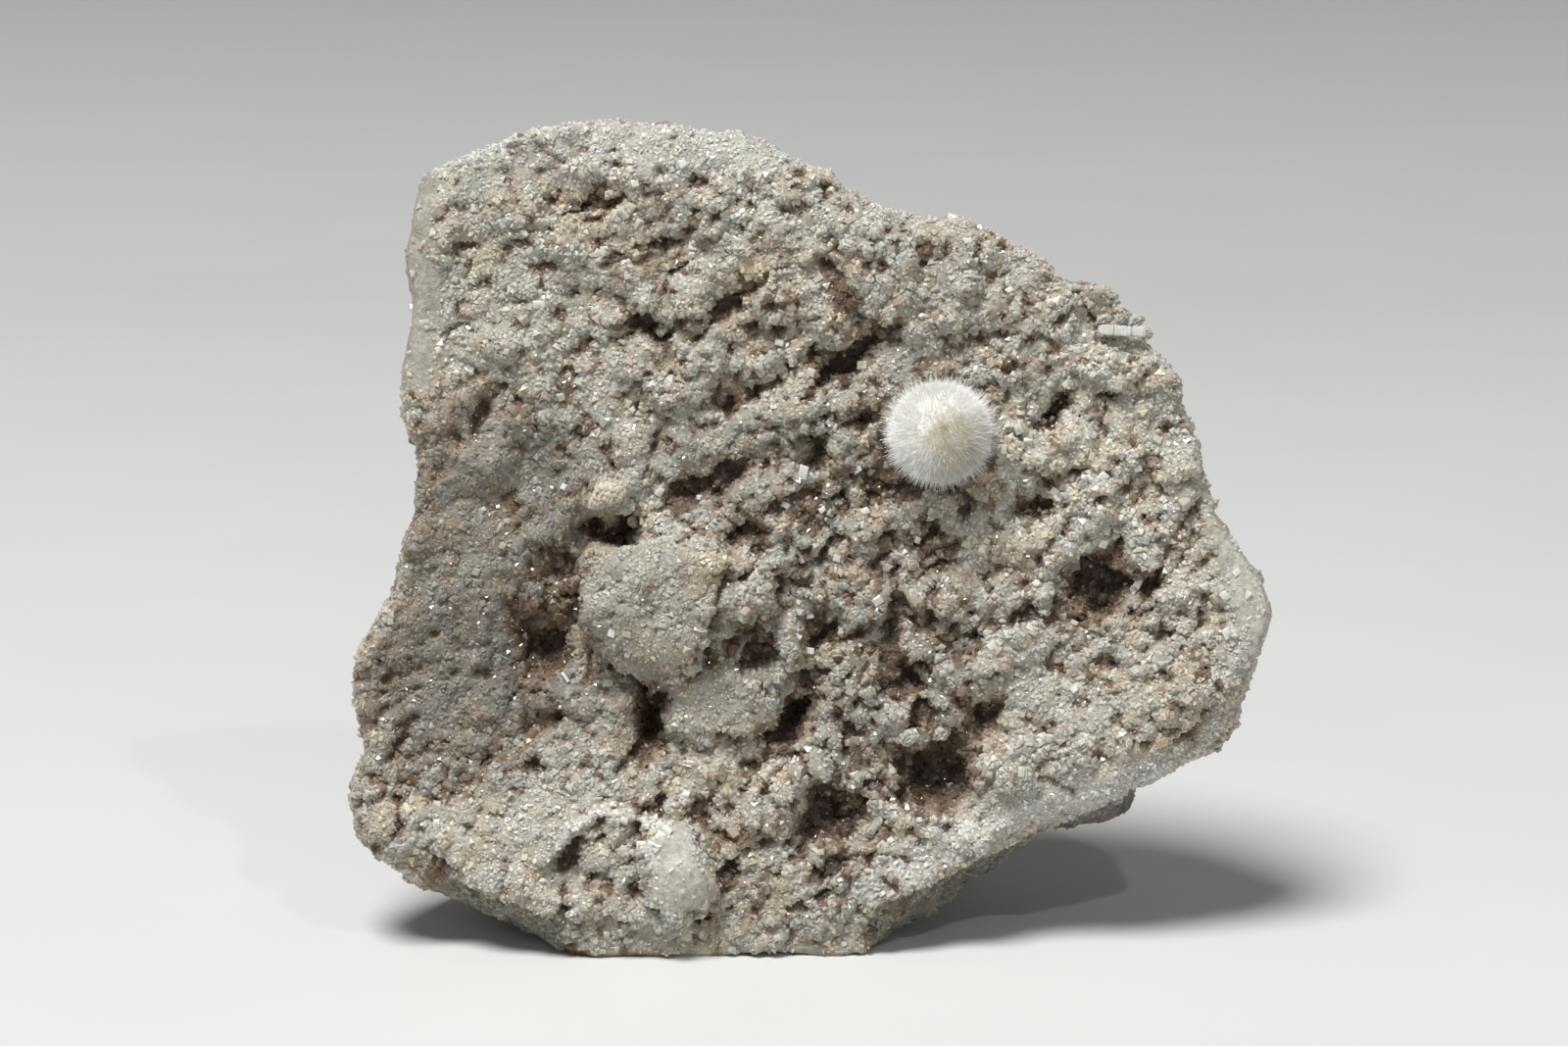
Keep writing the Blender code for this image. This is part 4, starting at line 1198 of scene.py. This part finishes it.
# Kinds of crystals: shape, share of all, spread of the three sizes, unevenness, skew
KINDS = [
    (grain_shape, 0.44, (1.2, 1.15, 1.1), 0.08, 0.0),
    (wedge_shape, 0.14, (1.1, 1.0, 1.0), 0.06, 0.0),
    (block_shape, 0.23, (0.9, 0.8, 0.85), 0.05, 0.2),
    (point_shape, 0.15, (0.9, 0.8, 1.2), 0.04, 0.0),
    (block_shape, 0.04, (1.3, 0.8, 0.45), 0.04, 0.25),
]


def frames_about(axes, spins):
    """A turned frame for every axis: its rows are the frame's own X, Y and Z."""
    helper = np.where(np.abs(axes[:, :1]) < 0.8, np.array([[1.0, 0.0, 0.0]]), np.array([[0.0, 1.0, 0.0]]))
    first = unit(np.cross(helper, axes))
    second = np.cross(axes, first)
    cosine, sine = np.cos(spins)[:, None], np.sin(spins)[:, None]
    return np.stack((first * cosine + second * sine, second * cosine - first * sine, axes), axis=1)


def spread_spots(skin, weights, wanted, spacing, rng):
    """Picks spots all over the skin, no two in the same small cell."""
    corners = skin.points[skin.quads]
    areas = np.linalg.norm(skin.facing(), axis=1)
    chances = areas * weights[skin.quads].mean(axis=1)
    faces = rng.choice(len(areas), wanted * TRIES, p=chances / chances.sum())
    u, v = rng.random((2, len(faces)))
    shares = np.stack(((1 - u) * (1 - v), u * (1 - v), u * v, (1 - u) * v), axis=1)
    places = (corners[faces] * shares[:, :, None]).sum(axis=1)
    cell = np.floor(places / spacing).astype(np.int64)
    _, first = np.unique(cell, axis=0, return_index=True)
    kept = np.sort(first)[:wanted]
    return places[kept], skin.quads[faces[kept]], shares[kept]


def blended(values, quads, shares):
    """Values of the points of a skin, read at spots on its faces."""
    if values.ndim == 1:
        return (values[quads] * shares).sum(axis=1)
    return (values[quads] * shares[:, :, None]).sum(axis=1)


def crystal_colours(face_points, browning, rng):
    """A colour for every crystal."""
    chance = rng.random((len(face_points), 3))
    reach = browning + rng.normal(0.0, 0.06, len(browning)) * (1.0 + 2.0 * np.clip(browning, 0.0, 1.0))
    light = rng.normal(1.0, 0.045, len(face_points))
    light = np.where(rng.random(len(light)) < 0.03, 1.2, light)
    return np.clip(crust_colours(face_points, reach, chance) * light[:, None], 0.01, 0.62)


def flattened(form):
    """Flat places for a crystal's points, as seen a little from the side."""
    return form[:, :2] + np.array((0.31, 0.47)) * form[:, 2:]


def crystals_mesh(places, frames, sizes, kinds, rng):
    """Joined crystals: points, triangles, and for every point its crystal and its flat place."""
    points, faces, owners, flat = [], [], [], []
    offset = 0
    for index, (shape, _, spread, uneven, skew) in enumerate(KINDS):
        chosen = np.flatnonzero(kinds == index)
        if not len(chosen):
            continue
        form, sides = shape()
        count = len(chosen)
        scale = np.array(spread) * np.exp(np.clip(rng.normal(0.0, 0.16, (count, 3)), -0.3, 0.3))
        local = form[None] * scale[:, None, :]
        local[:, :, 0] += skew * rng.uniform(-1.0, 1.0, (count, 1)) * local[:, :, 1]
        local += uneven * rng.uniform(-1.0, 1.0, local.shape)
        local *= sizes[chosen, None, None]
        world = np.einsum("nki,nij->nkj", local, frames[chosen]) + places[chosen, None]
        points.append(world.reshape(-1, 3))
        steps = offset + np.arange(count) * len(form)
        faces.append((sides[None] + steps[:, None, None]).reshape(-1, 3))
        owners.append(np.repeat(chosen, len(form)))
        flat.append(np.tile(flattened(form), (count, 1)))
        offset += count * len(form)
    return np.vstack(points), np.vstack(faces), np.concatenate(owners), np.vstack(flat)


def cell_map(owners, flat, faces, count):
    """Flat places with a small square for every crystal."""
    side = math.ceil(math.sqrt(count))
    corner = np.stack((owners % side, owners // side), axis=1)
    places = (corner + 0.5 + 0.42 * flat / np.abs(flat).max()) / side
    return places[faces.ravel()]


def make_crystals(name, grown, places, normals, colours, dullness, material):
    """Makes one piece of joined crystals, each with its colour, gloss and rounded light."""
    points, faces, owners, flat = grown
    points[:, 2] = np.maximum(points[:, 2], 0.02)
    piece = make_piece(name, points, [faces], material, "matrix")
    paint(piece.data, "tint", colours[owners])
    paint(piece.data, "dullness", dullness[owners])
    paint(piece.data, "bulge", unit(0.5 * unit(points - places[owners]) + normals[owners]))
    unwrap(piece.data, cell_map(owners, flat, faces, len(places)))


def special_grains(skin, rng):
    """The named grains: points, triangles, owners and flat places, then middles, colours and gloss."""
    face_points = to_face(skin.points)
    points, faces, owners, flat, middles, colours, gloss = [], [], [], [], [], [], []
    offset = 0
    for form, across, up, length, width, thick, turn, colour in GRAINS:
        shape, sides = form()
        knob = form is KNOB
        each = BLOCK_POINTS if knob else len(shape)
        own = np.arange(len(shape)) // each
        centred = shape - shape.reshape(-1, each, 3).mean(axis=1)[own]
        away = np.hypot(face_points[:, 0] - across, face_points[:, 1] - up)
        level = np.percentile(face_points[away < 0.7, 2], 75)
        size = 0.85 * np.array((length, width, thick))
        local = shape * (1.0 + 0.13 * rng.uniform(-1.0, 1.0, shape.shape)) * size
        tip = np.array(Euler(rng.uniform(-0.35, 0.35, 3)).to_matrix())
        middle = np.array((across, up, level + (0.2 if knob else 0.12) * thick))
        turned = local @ tip @ turn_matrix(turn).T + middle
        points.append(from_face(turned))
        faces.append(sides + offset)
        owners.append(own + len(middles))
        flat.append(flattened(centred))
        for part in turned.reshape(-1, each, 3):
            middles.append(from_face(part.mean(axis=0)))
            colours.append(np.array(colour) * (rng.normal(1.0, 0.06) if knob else 1.0))
            dull = 0.5 if form is LUMP or rng.random() < 0.75 else 0.12
            gloss.append(dull if knob or form is LUMP else 0.22)
        offset += len(shape)
    grown = np.vstack(points), np.vstack(faces), np.concatenate(owners), np.vstack(flat)
    return grown, np.array(middles), np.array(colours), np.array(gloss)


class STONE_OT_crust(bpy.types.Operator):
    """Covers the face with small crystals"""

    bl_idname = "stone.crust"
    bl_label = "Crust of crystals"

    def execute(self, context):
        settings = context.scene.stone_crust
        skin = made["skin"]
        rng = np.random.default_rng(CRUST_SEED)
        common = settings.size / MM
        places, quads, shares = spread_spots(
            skin, self.weights(skin), settings.count, 0.6 * common, rng)
        count = len(places)
        normals = unit(blended(skin.normals(), quads, shares))
        fine = blended(skin.fine, quads, shares)
        # The skin's stain and painted shade, read under every crystal
        browning = blended(skin.brown, quads, shares)
        face_places = to_face(places)
        sizes = np.exp(np.clip(rng.normal(0.0, 0.3, count), -0.5, 0.65))
        sizes *= common * (1.0 - 0.33 * np.maximum(fine, 0.0)) * (1.0 + 0.2 * layered(face_places, 4.0, 521))
        large = rng.random(count) < LARGE_SHARE
        sizes = np.where(large, LARGE_SIZE * common, sizes)
        axes = unit(normals + 0.42 * rng.normal(0.0, 1.0, (count, 3)))
        frames = frames_about(axes, rng.uniform(0.0, math.tau, count))
        kinds = rng.choice(len(KINDS), count, p=[kind[1] for kind in KINDS])
        sink = settings.sink + rng.uniform(-0.14, 0.14, count)
        places = places - normals * (sink * sizes)[:, None]
        colours = crystal_colours(face_places, np.where(large, 0.0, browning), rng)
        colours = np.clip(colours * np.where(large, 1.15, 1.0)[:, None], 0.0, 0.85)
        clean = rng.random(count) < settings.gloss
        dullness = np.where(clean, rng.uniform(0.07, 0.16, count), rng.uniform(0.45, 0.7, count))
        material = crystal_material()
        left = face_places[:, 0] < np.median(face_places[:, 0])
        for side, chosen_side in (("left", left), ("right", ~left)):
            middle = np.median(face_places[chosen_side, 1])
            low = face_places[:, 1] < middle
            for level, chosen_level in (("lower", low), ("upper", ~low)):
                chosen = chosen_side & chosen_level
                grown = crystals_mesh(places[chosen], frames[chosen], sizes[chosen], kinds[chosen], rng)
                make_crystals(
                    f"crust_{level}_{side}", grown, places[chosen], normals[chosen],
                    colours[chosen], dullness[chosen], material)
        grown, middles, tints, gloss = special_grains(skin, rng)
        facing = np.repeat(OUTWARD[None], len(middles), axis=0)
        make_crystals("grains", grown, middles, facing, tints, gloss, material)
        return {"FINISHED"}

    def weights(self, skin):
        """How tightly the crystals stand at every point of the skin."""
        face_points = to_face(skin.points)
        from_ball = np.linalg.norm(face_points - BALL_IN_FACE, axis=1)
        weights = (1.0 - skin.bare) * (1.0 + 0.3 * np.maximum(skin.fine, 0.0))
        weights *= ramp(skin.points[:, 2], 0.3, 1.0)
        return weights * (ramp(from_ball, 5.3, 5.6) * (1.0 - 0.92 * baldness(face_points)))


class STONE_OT_ball(bpy.types.Operator):
    """Makes the ball of needles"""

    bl_idname = "stone.ball"
    bl_label = "Ball of needles"

    def execute(self, context):
        settings = context.scene.stone_ball
        rng = np.random.default_rng(BALL_SEED)
        centre = from_face(BALL_IN_FACE)
        core, dense, far = settings.core / MM, settings.dense / MM, settings.radius / MM
        root = 0.88 * core
        count = settings.needles
        aims = unit(even_directions(count) + rng.normal(0.0, 0.012, (count, 3)))
        tuft = 0.6 * swell(aims, 0.3, 601) + 0.4 * swell(aims, 0.1, 603)
        reach = np.maximum(dense - 0.25 + 0.2 * tuft + rng.exponential(0.16, count), core + 0.15)
        _, to_clump, clump = cells(aims, 0.055, 617)
        tips = unit(aims - 0.025 * to_clump + rng.normal(0.0, 0.035, (count, 3)))
        width = settings.width / MM * rng.uniform(0.6, 1.2, count)
        fluff, sides = self.spikes(centre, aims, tips, (root, reach), (width, np.zeros(count)), rng)
        hairs = unit(even_directions(settings.hairs) + rng.normal(0.0, 0.03, (settings.hairs, 3)))
        far_reach = dense + (far - dense) * rng.uniform(0.0, 1.0, settings.hairs) ** 1.5
        thin = settings.hair_width / MM * rng.uniform(0.7, 1.2, settings.hairs)
        bent = unit(hairs + rng.normal(0.0, 0.035, hairs.shape))
        long, long_sides = self.spikes(centre, hairs, bent, (root, far_reach), (thin, 0.7 * thin), rng)
        points = np.vstack((fluff, long))
        faces = np.vstack((sides, long_sides + len(fluff)))
        colours = self.tints(aims, settings, 0.0) * (0.93 + 0.09 * clump)[:, None]
        colours = colours * rng.uniform(0.95, 1.03, (count, 1))
        long_colours = 0.96 * self.tints(hairs, settings, 0.0)
        colours = np.vstack([
            np.repeat(colours, len(fluff) // count, axis=0),
            np.repeat(long_colours, len(long) // len(hairs), axis=0),
        ])
        piece = make_piece(
            "bavenite_needles", points, [faces], needle_material(), "bavenite_ball")
        paint(piece.data, "tint", np.clip(colours, 0.0, 0.96))
        unwrap(piece.data, round_map(unit(points - centre))[faces.ravel()])
        self.make_core(settings, centre)
        return {"FINISHED"}

    def spikes(self, centre, aims, tips, reaches, widths, rng):
        """Three-sided needles; with a second width they keep it up to near the tip."""
        root, reach = reaches
        frames = frames_about(aims, rng.uniform(0.0, math.tau, len(aims)))
        thick = widths[1].max() > 0.0
        points = np.empty((len(aims), 7 if thick else 4, 3))
        for side in range(3):
            angle = math.tau * side / 3.0
            offset = frames[:, 0] * math.cos(angle) + frames[:, 1] * math.sin(angle)
            points[:, side] = centre + aims * root + offset * widths[0][:, None] * NEEDLE_CORNER
            if thick:
                along = unit(0.3 * aims + 0.7 * tips) * (reach - 0.35)[:, None]
                points[:, side + 3] = centre + along + offset * widths[1][:, None] * NEEDLE_CORNER
        points[:, -1] = centre + tips * reach[:, None]
        sides = [(0, 1, 3), (1, 2, 3), (2, 0, 3), (0, 2, 1)]
        if thick:
            sides = [(0, 2, 1), (3, 4, 6), (4, 5, 6), (5, 3, 6)]
            for i, after in ((0, 1), (1, 2), (2, 0)):
                sides += [(i, after, after + 3), (i, after + 3, i + 3)]
        steps = points.shape[1] * np.arange(len(aims))
        faces = (np.array(sides)[None] + steps[:, None, None]).reshape(-1, 3)
        return points.reshape(-1, 3), faces

    def tints(self, aims, settings, warmer):
        """White, with cream on the side towards the viewer, and painted shade that makes it darker at the
        lower right.
        """
        white, cream = np.array(settings.white), np.array(settings.cream)
        viewer = unit(OUTWARD + 0.35 * FACE_AXES[0] - 0.25 * FACE_AXES[1])
        warm = ramp(aims @ viewer + 0.16 * swell(aims, 0.3, 607), 0.74, 1.04)
        # Painted shade: darker towards the lower right, away from the lamps
        below = unit(0.8 * FACE_AXES[0] - 0.6 * FACE_AXES[1] + 0.3 * OUTWARD)
        dull = 1.0 - 0.2 * ramp(aims @ below + 0.15 * swell(aims, 0.4, 609), 0.1, 0.95)
        colours = towards(white, cream, np.clip(0.55 * warm + warmer, 0.0, 1.0))
        return colours * dull[:, None]

    def make_core(self, settings, centre):
        """The mass that the needles grow out of."""
        aims = even_directions(CORE_POINTS)
        faces = hull_faces(aims)
        radius = settings.core / MM + 0.12 * swell(aims, 0.2, 601) + 0.08 * swell(aims, 0.05, 611)
        piece = make_piece(
            "bavenite_core", centre + aims * radius[:, None], [faces], needle_material(),
            "bavenite_ball")
        # The core is darkened as painted shade, under the needles that cover it
        paint(piece.data, "tint", 0.78 * self.tints(aims, settings, 0.2))
        unwrap(piece.data, round_map(aims)[faces.ravel()])
        piece.data.shade_smooth()


def even_directions(count):
    """Directions spread evenly all round."""
    steps = np.arange(count) + 0.5
    height = 1.0 - 2.0 * steps / count
    turn = math.pi * (1.0 + math.sqrt(5.0)) * steps
    around = np.sqrt(1.0 - height**2)
    return np.stack((np.cos(turn) * around, np.sin(turn) * around, height), axis=1)


def round_map(aims):
    """Flat places for directions: the front half in one square and the back half in the other."""
    face_aims = aims @ FACE_AXES.T
    folded = face_aims[:, :2] / (1.0 + np.abs(face_aims[:, 2:]))
    side = np.where(face_aims[:, 2] > 0.0, 0.25, 0.75)
    return np.column_stack((side + 0.24 * folded[:, 0], 0.5 + 0.48 * folded[:, 1]))


class STONE_OT_prism(bpy.types.Operator):
    """Makes the prism crystal with its cross cracks"""

    bl_idname = "stone.prism"
    bl_label = "Prism crystal"

    def execute(self, context):
        settings = context.scene.stone_prism
        length, height = settings.length / MM, settings.height / MM
        turns = (np.arange(PRISM_SIDES) + 0.5) * math.tau / PRISM_SIDES
        ring = np.stack((np.sin(turns), np.cos(turns)), axis=1)
        square = ring / np.maximum(np.abs(ring).max(axis=1, keepdims=True), 0.82)
        points, shades = [], []
        for place in np.linspace(-0.5, 0.5, PRISM_RINGS):
            crack = sum(math.exp(-(((place - at) / CRACK_WIDTH) ** 2)) for at in PRISM_CRACKS)
            share = (1.0 - 0.3 * ramp(abs(place), 0.47, 0.5)) * (1.0 - 0.25 * crack)
            shades.append(np.full((PRISM_SIDES, 3), 1.0 - 0.4 * crack))
            wave = 1.0 + 0.04 * math.sin(37.0 * place) + 0.04 * math.sin(91.0 * place)
            wave *= 1.0 - 0.35 * (1.0 - ramp(place, -0.5, -0.4))
            across = np.full(PRISM_SIDES, place * length)
            points.append(np.column_stack((across, square * 0.5 * height * share * wave)))
        starts = PRISM_SIDES * np.arange(PRISM_RINGS - 1)[:, None]
        first = starts + np.arange(PRISM_SIDES)
        after = starts + (np.arange(PRISM_SIDES) + 1) % PRISM_SIDES
        quads = np.stack((first, after, after + PRISM_SIDES, first + PRISM_SIDES), axis=2).reshape(-1, 4)
        last = (PRISM_RINGS - 1) * PRISM_SIDES
        caps = [range(PRISM_SIDES)[::-1], range(last, last + PRISM_SIDES)]
        turned = np.vstack(points) @ turn_matrix(PRISM_TURN)
        piece = make_piece(
            "prism", from_face(turned + PRISM_IN_FACE - PRISM_SINK), [quads, caps],
            prism_material(settings.colour), "prism_crystal")
        paint(piece.data, "tint", np.vstack(shades))
        piece.data.shade_smooth()
        piece.data.set_sharp_from_angle(angle=math.radians(24.0))
        return {"FINISHED"}


class STONE_PT_panel(bpy.types.Panel):
    """Lists the stone's settings and operators"""

    bl_idname = "STONE_PT_panel"
    bl_label = "Crystal-covered stone"
    bl_space_type = "VIEW_3D"
    bl_region_type = "UI"
    bl_category = "Stone"

    def draw(self, context):
        for name, _, operator in PARTS:
            box = self.layout.box()
            box.operator(operator.bl_idname)
            settings = getattr(context.scene, name)
            for key in settings.__annotations__:
                box.prop(settings, key)


# What can be made: the name of its settings in the scene, the settings and the operator
PARTS = [
    ("stone_stage", StageSettings, STONE_OT_stage),
    ("stone_matrix", MatrixSettings, STONE_OT_matrix),
    ("stone_crust", CrustSettings, STONE_OT_crust),
    ("stone_ball", BallSettings, STONE_OT_ball),
    ("stone_prism", PrismSettings, STONE_OT_prism),
]


def register():
    """Registers the settings, the operators and the panel."""
    for name, settings, operator in PARTS:
        bpy.utils.register_class(settings)
        setattr(bpy.types.Scene, name, bpy.props.PointerProperty(type=settings))
        bpy.utils.register_class(operator)
    bpy.utils.register_class(STONE_PT_panel)


def unregister():
    """Takes back what register did."""
    bpy.utils.unregister_class(STONE_PT_panel)
    for name, settings, operator in reversed(PARTS):
        bpy.utils.unregister_class(operator)
        delattr(bpy.types.Scene, name)
        bpy.utils.unregister_class(settings)


def main():
    """Makes the whole scene."""
    register()
    bpy.ops.stone.stage()
    bpy.ops.stone.matrix()
    bpy.ops.stone.crust()
    bpy.ops.stone.ball()
    bpy.ops.stone.prism()


if __name__ == "__main__":
    main()
